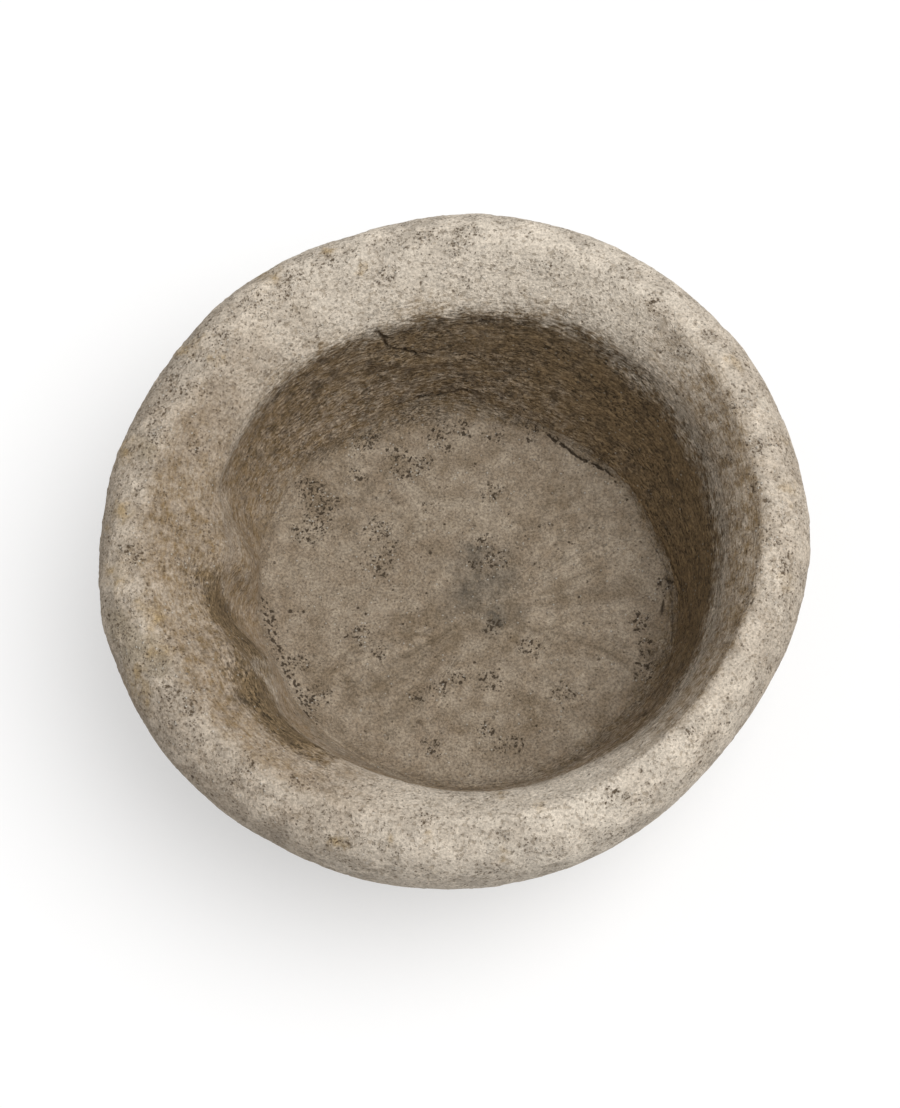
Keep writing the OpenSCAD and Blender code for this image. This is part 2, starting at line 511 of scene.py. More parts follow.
# %% [markdown]
# A chip, a stain or a cluster of holes is a patch: full in its middle and fading to nothing at an edge that
# noise makes ragged. Where several patches meet, the strongest counts, so they never pile up.

# %% Patches
def patch(points, middle, size, apart=0, ragged=0.35, hard=0.3):
    """1 in the middle of a ragged round patch, fading to 0 at its edge."""
    near = np.linalg.norm(points - middle, axis=-1) < 2 * size
    share = np.zeros(points.shape[:-1])
    chosen = points[near]
    away = np.linalg.norm(chosen - middle, axis=-1) / size
    share[near] = ramp(away + ragged * layered(chosen, size * 0.6, 3, 80 + apart), 1, hard)
    return share


def patches(points, places_and_sizes, apart=0, ragged=0.5, hard=0.3):
    """The strongest of several patches, each given as right, back, up and size in millimetres."""
    strongest = np.zeros(points.shape[:-1])
    for k, (x, y, z, size) in enumerate(places_and_sizes):
        strongest = np.maximum(strongest, patch(points, np.array([x, y, z]) * MM, size * MM, apart + k, ragged, hard))
    return strongest


test = patches(skin[::4, ::4], [(250, 0, 180, 20)])
print("a patch of 20 mm at the right covers", round(100 * float((test > 0.1).mean()), 2), "% of the skin")

# %% [markdown]
# Before the relief is worked out, the bowl is divided into zones by the place along a section: the wall
# outside, the top of the rim, the slope inside it and the wall of the hollow. A side of the bowl is picked
# out by its direction from the right. Coordinates that run round the bowl and along the section are kept too,
# because brush strokes follow them.

# %% Zones of the bowl
MEAN_RADIUS = 0.19  # where the way round the bowl is measured
lay = np.stack([
    MEAN_RADIUS * np.cos(angle) + 0 * radius,
    MEAN_RADIUS * np.sin(angle) + 0 * radius,
    travel[None, :] + 0 * radius,
], axis=-1)


def side(direction, reach, full=0.0):
    """1 on one side of the bowl, from `full` degrees off that direction falling to 0 at `reach` degrees off."""
    off = np.abs((np.degrees(angle) - direction + 180) % 360 - 180)
    return ramp(off, reach, full)


def sides(table):
    """Several sides added up. Each has a share, its direction, its reach and how far it is full, in degrees."""
    return sum(share * side(direction, reach, full) for share, direction, reach, full in table)


def by_direction(values, degrees):
    """A value at any direction, from a few that are given as degrees from the right and value."""
    return np.interp(degrees, list(values), list(values.values()), period=360)


in_wall = ramp(places, LIP - 2.0, LIP + 2.5)[None, :]
on_slope = (ramp(places, CREST - 1, CREST + 2) * ramp(places, LIP + 2, LIP - 1))[None, :]
outer_edge = (ramp(places, WIDEST - 5, WIDEST + 1) * ramp(places, CREST + 1, CREST - 3))[None, :]
under_rim = ramp(places, WIDEST, 4)[None, :]
off_ground = ramp(places, 0, 3)[None, :]
in_hollow = (places > CREST + 2)[None, :]
print("rows on the slope:", int((on_slope > 0.5).sum()), "and in the wall:", int((in_wall > 0.5).sum()))

# %% [markdown]
# The hands left wide swells and rounder lumps. On the left they also pressed three folds into the wall of the
# hollow, with a tongue of mix between two of them, and on the right the top of the rim stands up as
# a crusty roll with a crease inside it. These large marks are soft furrows along lines, and knolls are
# patches that stand up. All heights are in millimetres.

# %% Swells, lumps and folds
CREASE = spots((205, 102, 187), (216, 57, 187), (219, 19, 185), (219, -28, 185), (212, -62, 184))
FOLDS = [
    (spots((-147, 93, 124), (-158, 78, 128), (-166, 56, 134), (-173, 27, 152), (-170, 10, 150)), 24, -2.6),
    (spots((-189, -35, 162), (-179, -50, 156), (-167, -66, 150), (-156, -84, 148), (-148, -94, 140)), 24, -2.8),
    (spots((-168, -104, 170), (-155, -116, 165), (-140, -134, 160), (-124, -151, 162), (-106, -169, 166)), 22, -2.6),
    (spots((-195, 22, 170), (-174, -3, 152), (-154, -14, 82), (-146, -19, 46)), 15, 2.6),
    (spots((-178, -84, 172), (-163, -92, 166), (-150, -104, 160)), 13, 2.2),
    (spots((-243, 48, 181), (-213, 28, 180), (-194, 2, 170)), 26, -1.6),
    (CREASE, 12, -1.5),
]  # line, width and height in millimetres. The first three are darkened with painted shade and some soil
KNOLLS = [
    (222, 78, 186, 18), (231, 46, 186, 20), (240, 12, 186, 17), (243, -14, 186, 18), (240, -44, 186, 20),
    (228, -72, 186, 20), (206, 128, 186, 17), (-243, -25, 184, 10), (-246, -54, 182, 12), (-216, -122, 187, 15),
    (-222, 60, 187, 16), (-150, 190, 186, 22), (-60, 236, 187, 20), (60, 236, 187, 24), (100, 214, 187, 18),
]  # places on the rim and their sizes
SWELL_HIGH, SMALL_SWELL_HIGH, LUMP_HIGH, KNOLL_HIGH = 1.0, 0.7, 0.55, 1.3
swells = SWELL_HIGH * layered(skin, 0.085, 2, 1)
swells = swells + SMALL_SWELL_HIGH * layered(skin, 0.036, 2, 3) * (1 - 0.7 * in_wall)
lumps = LUMP_HIGH * layered(skin, 0.015, 3, 5) * (1 - 0.55 * on_slope)
folds = sum(depth * furrow(skin, line, width * MM) for line, width, depth in FOLDS)
knolls = KNOLL_HIGH * patches(skin, KNOLLS, 5, 0.25, 0.0)
push = swells + lumps + folds + knolls
print("swells, lumps and folds from", round(float(push.min()), 2), "to", round(float(push.max()), 2), "mm")

# %% [markdown]
# A brush or a bunch of twigs left short strokes that run round the hollow. Noise that is stretched along the
# wall makes them: the coordinate up the wall is multiplied, so the cells of the noise become narrow. A second
# set of small stretched holes between the strokes is where the mix tore. The strokes are plainest at the
# right and the back, and nearly gone at the left, where mortar was smeared over them. The bed will use the
# same helper, so that its strokes join those of the wall.

# %% Brush strokes of the hollow
STROKE_LENGTH, STROKE_WIDTH, STROKE_WANDER = 0.008, 0.0026, 0.0035
TORN_CELL, TORN_STRETCH, TORN_DEEP = 0.0062, 0.6, 0.75
STROKES_SHOW = {0: 1.0, 100: 1.0, 135: 0.8, 150: 0.5, 170: 0.2, 230: 0.2, 260: 0.6, 300: 0.9}


def brush_strokes(along, points):
    """Coordinates in which the strokes are as wide as long, and the strokes' height from about -1 to 1."""
    space = along * (1, 1, STROKE_LENGTH / STROKE_WIDTH) + STROKE_WANDER * pushed_about(points, 0.025, 20)
    return space, 0.75 * layered(space, STROKE_LENGTH, 2, 12) + 0.35 * noise(space, 2.4 * STROKE_LENGTH, 15)


directions = np.degrees(angle) % 360
strokes_here = by_direction(STROKES_SHOW, directions)
stroke_space, strokes = brush_strokes(lay, skin)
torn_share = 0.10 + 0.30 * ramp(layered(lay, 0.035, 2, 17), -0.1, 0.5)
torn = holes(stroke_space * (1, 1, TORN_STRETCH), TORN_CELL, torn_share * in_wall * strokes_here, 4)
brushed = strokes * (0.85 * in_wall * np.maximum(strokes_here, 0.4) + 0.12 * on_slope)
push = push + brushed - TORN_DEEP * torn
print("strokes from", round(float(brushed.min()), 2), "to", round(float(brushed.max()), 2), "mm")

# %% [markdown]
# The top of the rim once had a smooth outer paste. Rain and knocks have taken it off in places, most of all
# on the left, at the outer edge and along the crease on the right. What is left of the paste ends in
# small ragged steps, and the ground beside it is gritty and full of holes. Noise that is cut at a
# level gives such an edge, and shifting the level makes more or less of the ground bare.

# %% Paste and bare ground of the rim
PASTE_THICK, CREASE_WIDTH = 0.55, 13
WEAK_SIDES = [(0.34, 185, 80, 20), (0.22, 140, 40, 0)]  # where the paste is weak
crease = furrow(skin, CREASE, CREASE_WIDTH * MM)
weak = 0.30 * outer_edge + sides(WEAK_SIDES) + 0.5 * crease + 0.3 * under_rim
paste_noise = layered(skin, 0.022, 4, 33)
whole = ramp(paste_noise + 0.16 - 0.55 * weak, -0.07, 0.05)
bare = (1 - whole) * (1 - in_wall) * (1 - 0.35 * on_slope)
grit = (0.12 + 0.28 * bare + 0.12 * in_wall) * layered(skin, 0.0042, 2, 9)
push = push - PASTE_THICK * bare + grit
print("bare ground:", round(100 * float((bare > 0.5).mean())), "% of the skin")

# %% [markdown]
# Holes come in two kinds: pin holes all over, and clusters of broken ground where the photograph shows them.
# Single grains stand up where the softer paste round them has gone.

# %% Holes and grains of the bowl
RIM_CLUSTERS = [
    (-212, 116, 184, 15), (-197, 110, 182, 13), (-222, 90, 184, 13), (-218, 70, 184, 13), (-193, 64, 177, 8),
    (-88, -231, 172, 12), (-78, -237, 170, 11), (-51, 204, 182, 10), (-20, 232, 188, 12), (12, 238, 188, 12),
    (-100, 214, 184, 14), (-150, 176, 184, 15), (-120, 200, 186, 12), (232, -12, 186, 11), (238, 66, 184, 10),
    (240, -30, 184, 13), (222, 60, 186, 9), (36, -232, 178, 9), (-20, -222, 186, 11), (-112, -196, 186, 11),
    (70, 205, 186, 12), (150, 176, 186, 12), (190, 150, 184, 11), (-236, -20, 182, 13), (-206, -128, 184, 14),
    (110, -205, 184, 10), (170, -160, 184, 9), (-60, -205, 187, 9), (0, 222, 188, 14), (-178, 150, 184, 13),
    (216, 64, 186, 8), (219, 30, 185, 9), (219, -4, 185, 8), (218, -34, 185, 8), (212, -60, 184, 8), (208, 90, 186, 7),
    (-130, 190, 187, 12), (-196, 132, 187, 12), (-214, 20, 182, 9), (-190, -140, 186, 10), (-150, -180, 184, 12),
]  # to the right, to the back, up and size, in millimetres
SMALL_BREAKS = [
    (-47, -236, 180, 6), (-18, -233, 182, 6), (-13, -250, 168, 7), (35, -243, 172, 8), (31, -200, 168, 8),
    (-84, -236, 174, 7), (60, -214, 184, 6), (-70, 205, 185, 6), (-96, 222, 181, 7), (-178, 132, 184, 6),
    (246, 70, 172, 6),
]  # stained brown as well
HOLE_DEEP, GRAIN_HIGH = 0.85, 0.4
clusters = ramp(patches(skin, RIM_CLUSTERS + SMALL_BREAKS, 9, 0.6, 0.3), 0.1, 0.75)
scatter = ramp(layered(skin, 0.03, 3, 30), 0.05, 0.5)
pin_holes = holes(skin, 0.0048, (0.05 + 0.12 * scatter + 0.22 * bare + 0.3 * clusters) * (1 - 0.4 * in_wall), 1)
fine_breaks = broken(skin, 0.0038, 0.64 - 0.33 * clusters - 0.12 * bare - 0.06 * scatter + 0.2 * in_wall, 23)
grains = holes(skin, 0.0055, 0.05 + 0.14 * bare, 6, 0.2)
hole = np.maximum(np.maximum(pin_holes, fine_breaks), 0.75 * torn)
push = push - HOLE_DEEP * np.maximum(pin_holes, fine_breaks) + GRAIN_HIGH * grains * (1 - hole)
print("points in a hole:", round(100 * float((hole > 0.3).mean()), 1), "%")

# %% [markdown]
# The last marks of the bowl are the ones that catch the eye: the cracked ledge and the fissure in the back
# wall, the chips on the crest behind them, the cracks where the right wall meets the floor, the line of voids
# on the left and a notch in the lip at the front.

# %% Cracks, chips and voids of the bowl
RIGHT_CRACK = spots((150, 40, 47), (158, 31, 48), (167, 14, 54), (173, -9, 58), (172, -30, 60), (169, -64, 80))
LEDGE_LINE = spots((-62, 160, 118), (-30, 160, 102), (4, 164, 100))
VOID_LINE = spots(
    (-149, -20, 50), (-143, -45, 50), (-137, -58, 48), (-131, -76, 56), (-121, -100, 71), (-112, -118, 78))
LEDGE_WIDE, LEDGE_HIGH = 9, 2.6
VOIDS_WIDE, VOIDS_DEEP, CHIPS_DEEP = 6, 1.6, 1.9
BOWL_CRACKS = [
    (spots((-62, 168, 158), (-57, 166, 150), (-53, 166, 140), (-50, 164, 130)), 3.2, 2.6),
    (spots((-50, 164, 128), (-40, 165, 122), (-28, 166, 113), (-14, 168, 108)), 2.4, 2.4),
    (spots((-57, 166, 128), (-50, 166, 128), (-42, 165, 130)), 1.8, 1.4),
    (spots((-34, 151, 62), (-14, 153, 57), (0, 156, 62), (12, 156, 68)), 2.4, 2.4),
    (spots((6, 156, 66), (14, 156, 61), (26, 154, 58)), 1.5, 1.2),
    (RIGHT_CRACK, 1.5, 1.6),
    (spots((132, 112, 100), (136, 98, 84), (135, 90, 66)), 1.6, 0.9),
    (spots((-124, 90, 66), (-114, 100, 63), (-106, 107, 60)), 1.4, 0.7),
    (spots((30, -196, 163), (34, -190, 158), (37, -186, 152)), 4.0, 1.8),
]  # line, width and depth in millimetres
CHIPS = [(-20, 232, 188, 3), (-10, 236, 189, 3), (-1, 237, 189, 4), (15, 238, 188, 3), (21, 178, 144, 4)]
cracks = np.zeros(push.shape)
for k, (line, width, depth) in enumerate(BOWL_CRACKS):
    cut = groove(skin, line, width * MM, 3 * k, 0.7)
    push = push - depth * cut
    cracks = np.maximum(cracks, cut)
ledge = furrow(skin, LEDGE_LINE, LEDGE_WIDE * MM)
void_band = furrow(skin, VOID_LINE, VOIDS_WIDE * MM, 0)
voids = broken(skin, 0.0042, 0.75 - 0.75 * void_band, 27) * ramp(void_band, 0.05, 0.4)
chipped = patches(skin, CHIPS, 30, 1.1, 0.45)
push = push + LEDGE_HIGH * ledge - VOIDS_DEEP * voids - CHIPS_DEEP * chipped
hole = np.maximum.reduce([hole, cracks, voids, 0.5 * chipped])
print("cracks, voids and chips cover", round(100 * float((np.maximum(cracks, voids) > 0.3).mean()), 2), "% of the skin")

# %% [markdown]
# The relief has to stay inside the box of the CAD model, so it is set back: only the highest lumps reach the
# CAD surface or pass it by a hair. The foot stays flat on the ground. How far each point lies above or below the
# ground round it is kept as well, and the colour is made darker in the low places and paler on the high ones.

# %% Push the skin
SET_BACK, MOST_OUT = 1.5, 0.5
TONE_PER_MM = 0.42
raised = swells * 0.25 + lumps + grit + brushed - 0.8 * hole - 0.5 * PASTE_THICK * bare + 0.4 * grains + 0.3 * knolls
relief_tone = np.clip(0.5 + TONE_PER_MM * raised, 0, 1)
push = np.minimum(push - SET_BACK, MOST_OUT) * off_ground
skin = skin + MM * push[..., None] * facing
skin[..., 2] = np.maximum(skin[..., 2], 0)
print("relief from", round(float(push.min()), 2), "to", round(float(push.max()), 2), "mm;",
      "box", np.round(skin.reshape(-1, 3).min(0), 4), np.round(skin.reshape(-1, 3).max(0), 4))

# %% [markdown]
# The skin is open at two ends: at the ground and at the edge of the floor. Rings of points close both.
# A ring further in has half as many points as the one before, so that no face becomes a long sliver. The
# hollow is closed too where the mortar bed covers it, because a solid thing needs a closed mesh.

# %% Close an open end with rings
FEWEST_ROUND = 24
FOOT_RINGS = (0.985, 0.95, 0.88, 0.76, 0.55, 0.3)  # shares of the open end's size
SEAT_RINGS = (1.0, 0.97, 0.9, 0.75, 0.45)


def closing_rings(ring, numbers, next_number, steps, from_below):
    """New points and triangles that close a ring. Each step is a share of the ring's size and a height."""
    points, triangles = [], []
    outer, spacing = list(numbers), 1
    for share, height in steps:
        halved = share < 1 and len(outer) % 2 == 0 and len(outer) > FEWEST_ROUND
        jump = 2 if halved else 1
        spacing *= jump
        inner_points = ring[::spacing] * (share, share, 0) + (0, 0, height)
        inner = list(range(next_number, next_number + len(inner_points)))
        next_number += len(inner)
        points.append(inner_points)
        for k in range(len(inner)):
            here, after = inner[k], inner[(k + 1) % len(inner)]
            edge = [outer[(jump * k + m) % len(outer)] for m in range(jump + 1)]
            triangles.append((edge[0], edge[1], here))
            triangles.append((edge[1], after, here))
            if halved:
                triangles.append((edge[1], edge[2], after))
        outer = inner
    middle = next_number
    points.append(np.array([[0, 0, steps[-1][1]]]))
    triangles += [(outer[k], outer[(k + 1) % len(outer)], middle) for k in range(len(outer))]
    triangles = np.array(triangles)
    return np.concatenate(points), triangles[:, ::-1] if from_below else triangles


rows = skin.shape[1]
number = np.arange(COLUMNS * rows).reshape(COLUMNS, rows)
BED_SEAT = float(bowl_sections[:, FLOOR_EDGE + 1, 1].mean())
foot_points, foot_faces = closing_rings(
    skin[:, 0], number[:, 0], number.size, [(share, 0) for share in FOOT_RINGS], True)
seat_points, seat_faces = closing_rings(
    skin[:, -1], number[:, -1], number.size + len(foot_points),
    [(share, BED_SEAT) for share in SEAT_RINGS], False)
print("foot:", len(foot_faces), "faces, seat of the bed:", len(seat_faces), "faces")

# %% [markdown]
# Arrays hand the faces to Blender in one go, which is much faster than a list of half a million faces.
# Numbers that the material needs, such as how deep a point lies in a hole, go along as attributes. The map
# for pictures gives every face corner a place on a square picture.

# %% Build a mesh from arrays
def make_piece(name, points, quads, triangles, uv, attributes):
    """A smooth-shaded object from points, faces, the map's place of each face corner and point attributes."""
    mesh = bpy.data.meshes.new(name)
    mesh.vertices.add(len(points))
    mesh.vertices.foreach_set("co", points.astype(np.float32).ravel())
    corners = np.concatenate([quads.ravel(), triangles.ravel()]).astype(np.int32)
    starts = np.concatenate([4 * np.arange(len(quads)), quads.size + 3 * np.arange(len(triangles))])
    mesh.loops.add(len(corners))
    mesh.loops.foreach_set("vertex_index", corners)
    mesh.polygons.add(len(starts))
    mesh.polygons.foreach_set("loop_start", starts.astype(np.int32))
    mesh.update(calc_edges=True)
    for key, values in attributes.items():
        is_vector = values.ndim == 2
        attribute = mesh.attributes.new(key, "FLOAT_VECTOR" if is_vector else "FLOAT", "POINT")
        attribute.data.foreach_set("vector" if is_vector else "value", values.astype(np.float32).ravel())
    layer = mesh.uv_layers.new(name="OFBake")
    layer.data.foreach_set("uv", uv.astype(np.float32).ravel())
    mesh.shade_smooth()
    piece = bpy.data.objects.new(name, mesh)
    bpy.context.scene.collection.objects.link(piece)
    print(name, "has", len(points), "points and", len(starts), "faces; mesh repaired:", mesh.validate())
    return piece


# %% [markdown]
# The bowl's map cuts the skin in two halves and lays them one above the other as long strips. The foot and the
# seat of the bed lie flat beside them as discs. A disc's upright edge would have no width when seen from
# above, so a point is moved outwards on the map the higher it lies.

# %% Map of the bowl
STRIP_HEIGHT, STRIP_GAP = 0.42, 0.005
EDGE_SPREAD = 8.0  # share of a disc's size for each metre of height
FOOT_ON_MAP, SEAT_ON_MAP, DISC_SCALE = (0.1, 0.925), (0.3, 0.925), 0.36
half = COLUMNS // 2
left = np.broadcast_to((np.arange(COLUMNS) % half / half)[:, None], (COLUMNS, rows - 1))
right = left + 1 / half
strip = (np.arange(COLUMNS) // half * (STRIP_HEIGHT + STRIP_GAP))[:, None]
up = travel / travel[-1] * STRIP_HEIGHT
bottom, top = strip + up[None, :-1], strip + up[None, 1:]
strips_uv = np.stack([
    np.stack([left, bottom], -1), np.stack([right, bottom], -1),
    np.stack([right, top], -1), np.stack([left, top], -1),
], axis=2).reshape(-1, 2)


def disc_map(points, triangles, middle, size):
    """Lays a disc and its upright edge flat on the map."""
    chosen = points[triangles.ravel()]
    lift = np.abs(chosen[:, 2:] - chosen[-1, 2])
    return middle + chosen[:, :2] * size * (1 + EDGE_SPREAD * lift)


bowl_points = np.concatenate([skin.reshape(-1, 3), foot_points, seat_points])
bowl_uv = np.concatenate([
    strips_uv,
    disc_map(bowl_points, foot_faces, FOOT_ON_MAP, DISC_SCALE),
    disc_map(bowl_points, seat_faces, SEAT_ON_MAP, DISC_SCALE),
])
print("map of the bowl from", np.round(bowl_uv.min(0), 2), "to", np.round(bowl_uv.max(0), 2))

# %% [markdown]
# The hollow is darkened from below the lip down, partly by soil that has stained it and partly by painted
# shade: it is darkest just under the lip and paler further down. Its upper edge is ragged and lies at another
# height in each direction, and the dark is strongest at the right and the back, where the walls are turned from
# the light, and in the three folds. In a fold it lies on the side towards the floor, so it is moved a little to the
# right of the fold's line. The mortar of the floor was smeared up the left wall, and there the soil and shade
# are thin.

# %% Soil and painted shade in the hollow
# Each of these is read at any direction from the right, in degrees
SOIL_AND_SHADE_TOP = {
    0: 138, 20: 138, 40: 143, 50: 150, 60: 156, 75: 158, 92: 158, 100: 153, 113: 153, 122: 160, 135: 160, 150: 154,
    170: 134, 190: 134, 205: 116, 240: 120, 270: 138, 320: 136,
}  # height in millimetres
SOIL_AND_SHADE_LEVEL = {
    0: 1.15, 40: 1.08, 75: 0.92, 95: 0.84, 120: 0.78, 150: 0.74, 175: 0.58, 190: 0.54, 205: 0.36, 225: 0.4,
    260: 0.4, 300: 0.52, 325: 0.74, 345: 1.05,
}  # how much soil and painted shade there is
SOIL_AND_SHADE_FADES = {0: 34, 40: 28, 60: 22, 90: 17, 135: 18, 180: 16, 300: 24}  # millimetres from none to full
SMEAR_TOP = {0: 47, 60: 50, 100: 52, 125: 56, 142: 74, 163: 76, 187: 66, 203: 64, 223: 80, 240: 90, 280: 60, 320: 48}
SLOPE_SIDES = [(0.42, 200, 60, 20), (0.45, 355, 60, 25)]  # where the hollow's soil and painted shade reach onto the slope above the lip as well
FOLD_SHADE_AND_SOIL = ((0.7, 18), (0.98, 33), (0.98, 33))  # how strong and how wide the painted shade and soil are, for the first three folds
ALMOST_FLAT = np.array((1, 1, 0.35))  # the painted shade of a fold reaches further down the wall than round it
TO_THE_RIGHT = np.array((9, 3, 0)) * MM
soil_noise = layered(skin, 0.028, 4, 50)
# The band of soil and painted shade under the lip, paler further down
below_top = np.where(in_hollow, by_direction(SOIL_AND_SHADE_TOP, directions) - skin[..., 2] / MM, -100)
soil_and_shade_edge = 10 * layered(skin, 0.045, 2, 150) + 9 * soil_noise + 7 * layered(skin, 0.009, 2, 152)
soil_and_shade_tone = 0.16 * layered(skin, 0.02, 3, 155) - 0.12 * ramp(below_top, 40, 75)
soil_and_shade_fade = by_direction(SOIL_AND_SHADE_FADES, directions)
soil_and_shade = ramp((below_top + soil_and_shade_edge) / soil_and_shade_fade, -0.9, 1) * (by_direction(SOIL_AND_SHADE_LEVEL, directions) + soil_and_shade_tone)
fibrous = in_wall * strokes_here
slope_soil_and_shade = sides(SLOPE_SIDES) + 0.04
soil_and_shade = np.clip(np.maximum(soil_and_shade, slope_soil_and_shade * on_slope * (1 + 0.45 * soil_noise)), 0, 1)
smeared = ramp(by_direction(SMEAR_TOP, directions) - skin[..., 2] / MM + 9 * soil_noise, -4, 8) * in_wall
soil_and_shade = soil_and_shade * (1 - 0.45 * smeared)
# Painted shade in the three folds, with some soil, on the side towards the floor
for (line, _, _), (dirt, width) in zip(FOLDS, FOLD_SHADE_AND_SOIL):
    flat_line = [(p + TO_THE_RIGHT) * ALMOST_FLAT for p in line]
    fold_shade_and_soil = dirt * ramp(furrow(skin * ALMOST_FLAT, flat_line, width * MM, 0.5) * (1 + 0.5 * soil_noise), 0.05, 0.7)
    soil_and_shade = np.maximum(soil_and_shade, fold_shade_and_soil)
    fibrous = np.maximum(fibrous, fold_shade_and_soil)
print("mean soil in the wall:", round(float(soil_and_shade[:, places > LIP + 3].mean()), 2))

# %% [markdown]
# The clean stone of the rim isn't one colour either. It is browner at the left and the right, under the rim,
# on the slope and in the hollow under the soil, where this browner stone is partly painted shade. Ochre stains
# sit in the small breaks and at the left, and one place at the left is worn down to plain grey grit.

# %% Wear and stains of the rim
WORN_SIDES = [(0.46, 190, 95, 20), (0.2, 240, 50, 0), (0.34, 0, 65, 20), (0.05, 280, 70, 0)]
WORN_SLOPE_SIDES = [(0.42, 355, 60, 25), (0.48, 195, 80, 30)]
OCHRE_STAINS = [
    (-248, -37, 179, 17), (-221, -68, 185, 15), (-233, -117, 171, 19), (-242, 64, 177, 18), (-249, 11, 179, 14),
    (-216, -97, 186, 12), (206, 132, 182, 12), (244, 30, 178, 12), (242, -42, 180, 9), (-78, -236, 170, 9),
    (32, -196, 164, 7), (36, -238, 172, 9), (-20, -233, 178, 8), (-200, 150, 176, 14), (-140, 205, 178, 14),
]
GREY_WEAR = [(-246, -74, 174, 20), (-232, -92, 182, 22), (-214, -108, 186, 14), (-228, 58, 182, 11)]
OCHRE_WIDER = 1.25
# The wall of the hollow below the top of the soil is made browner too: partly wear, partly painted shade
wall_wear_and_shade = np.maximum(0.45 * side(182, 30, 10), 0.7 * ramp(below_top, 2, 22))
worn = sides(WORN_SIDES) + 0.25 * under_rim + 0.06 * outer_edge + 0.12 * soil_noise
worn = worn + in_wall * wall_wear_and_shade + on_slope * sides(WORN_SLOPE_SIDES)
ochre_places = [(x, y, z, OCHRE_WIDER * size) for x, y, z, size in OCHRE_STAINS + SMALL_BREAKS]
ochre = patches(skin, ochre_places, 40, 0.8, 0.1)
ochre = np.maximum(ochre * (1 - 0.5 * side(30, 90, 30)), 0.6 * under_rim)
grey = patches(skin, GREY_WEAR, 60, 0.6, 0.3)
print("worn:", round(float(worn.mean()), 2), "ochre:", round(float(ochre.mean()), 2))

# %% [markdown]
# Now the bowl is put together. The underside of the foot and the seat of the bed have no marks of their own,
# so all the points of the closing rings get the same numbers: middling relief, bare and worn.

# %% The bowl
UNDER_RELIEF, UNDER_BARE, UNDER_WORN = 0.5, 0.5, 0.6
after = np.roll(number, -1, axis=0)
bowl_quads = np.stack([number[:, :-1], after[:, :-1], after[:, 1:], number[:, 1:]], axis=-1).reshape(-1, 4)
spare = len(foot_points) + len(seat_points)


def padded(values, filler=0.0):
    """A number for each point of the skin, with a filler for the points of the closing rings."""
    full = np.broadcast_to(values, (COLUMNS, rows)).reshape(-1)
    return np.concatenate([full, np.full(spare, filler)])


bowl = make_piece("HandLaidBowl", bowl_points, bowl_quads, np.concatenate([foot_faces, seat_faces]), bowl_uv, {
    "lay": np.concatenate([lay.reshape(-1, 3), foot_points * (1, 1, 0), seat_points * (1, 1, 0)]),
    "hole": padded(hole),
    "relief": padded(relief_tone, UNDER_RELIEF),
    "bare": padded(bare, UNDER_BARE),
    "clusters": padded(clusters),
    "wall": padded(fibrous),
    "slope": padded(on_slope),
    "worn": padded(np.clip(worn, 0, 1), UNDER_WORN),
    "soil_and_shade": padded(soil_and_shade),
    "ochre": padded(ochre),
    "grey": padded(grey),
    "smeared": padded(smeared),
})

# %% [markdown]
# The floor is a bed of mortar that was trowelled over the base once the wall stood. A square grid that is
# bent into a disc gives it even faces all over, without a knot in the middle as rings would have. Its edge
# curls up against the wall and runs into it, as wet mortar does, so the grid ends inside the wall.

# %% Outline of the mortar bed
BED_SIDE = 441  # points along one side of the grid
BED_FOOT = 5  # the point of a bed section where the solid meets the wall
INTO_WALL = 12  # how many millimetres the grid goes on past that point

even = np.linspace(-1, 1, BED_SIDE)
u, v = np.meshgrid(even, even, indexing="ij")
flat = np.stack([u * np.sqrt(1 - v * v / 2), v * np.sqrt(1 - u * u / 2)], axis=-1)
share = np.hypot(flat[..., 0], flat[..., 1])
towards = np.degrees(np.arctan2(flat[..., 1], flat[..., 0])) % 360
unit = np.stack([np.cos(np.radians(towards)), np.sin(np.radians(towards)), 0 * towards], axis=-1)


def round_list(values, degrees):
    """Values given at even steps round the axis, read at any direction on a smooth closed curve."""
    place = degrees / 360 * len(values)
    first = np.floor(place).astype(int)
    weights = four_weights(place - first)
    return sum(weights[..., k] * values[(first + k - 1) % len(values)] for k in range(4))


cad_edge = round_list(bed_sections[:, BED_FOOT, 0], towards)
reach = share * (cad_edge + INTO_WALL * MM)
from_edge = (cad_edge - reach) / MM
print("bed from", round(float(cad_edge.min() / MM)), "to", round(float(cad_edge.max() / MM)), "mm from the axis")

# %% [markdown]
# The mortar has to lie on the bowl's wall without a gap, so the wall's own shape is measured first: how high
# it stands at each direction and each distance from the edge of the floor. Inside the edge a slope goes on
# downwards from the foot of the wall.

# %% Height of the wall behind the bed
INNER_SLOPE = 1.6
TABLE_START, TABLE_STEP = -40, 0.5  # millimetres past the foot of the wall
JUST_INSIDE = 1.001  # keeps a place below the last column of a table
table_offsets = np.arange(TABLE_START, INTO_WALL + TABLE_STEP / 5, TABLE_STEP)
behind = skin[:, places > LIP + 3][:, ::-1]
behind_radius = np.maximum.accumulate(np.hypot(behind[..., 0], behind[..., 1]), axis=1) / MM
column_edge = round_list(bed_sections[:, BED_FOOT, 0], np.degrees(angle[:, 0])) / MM
wall_table = np.stack([
    np.interp(edge + table_offsets, r, z) - INNER_SLOPE * np.maximum(r[0] - edge - table_offsets, 0)
    for edge, r, z in zip(column_edge, behind_radius, behind[..., 2] / MM)
])


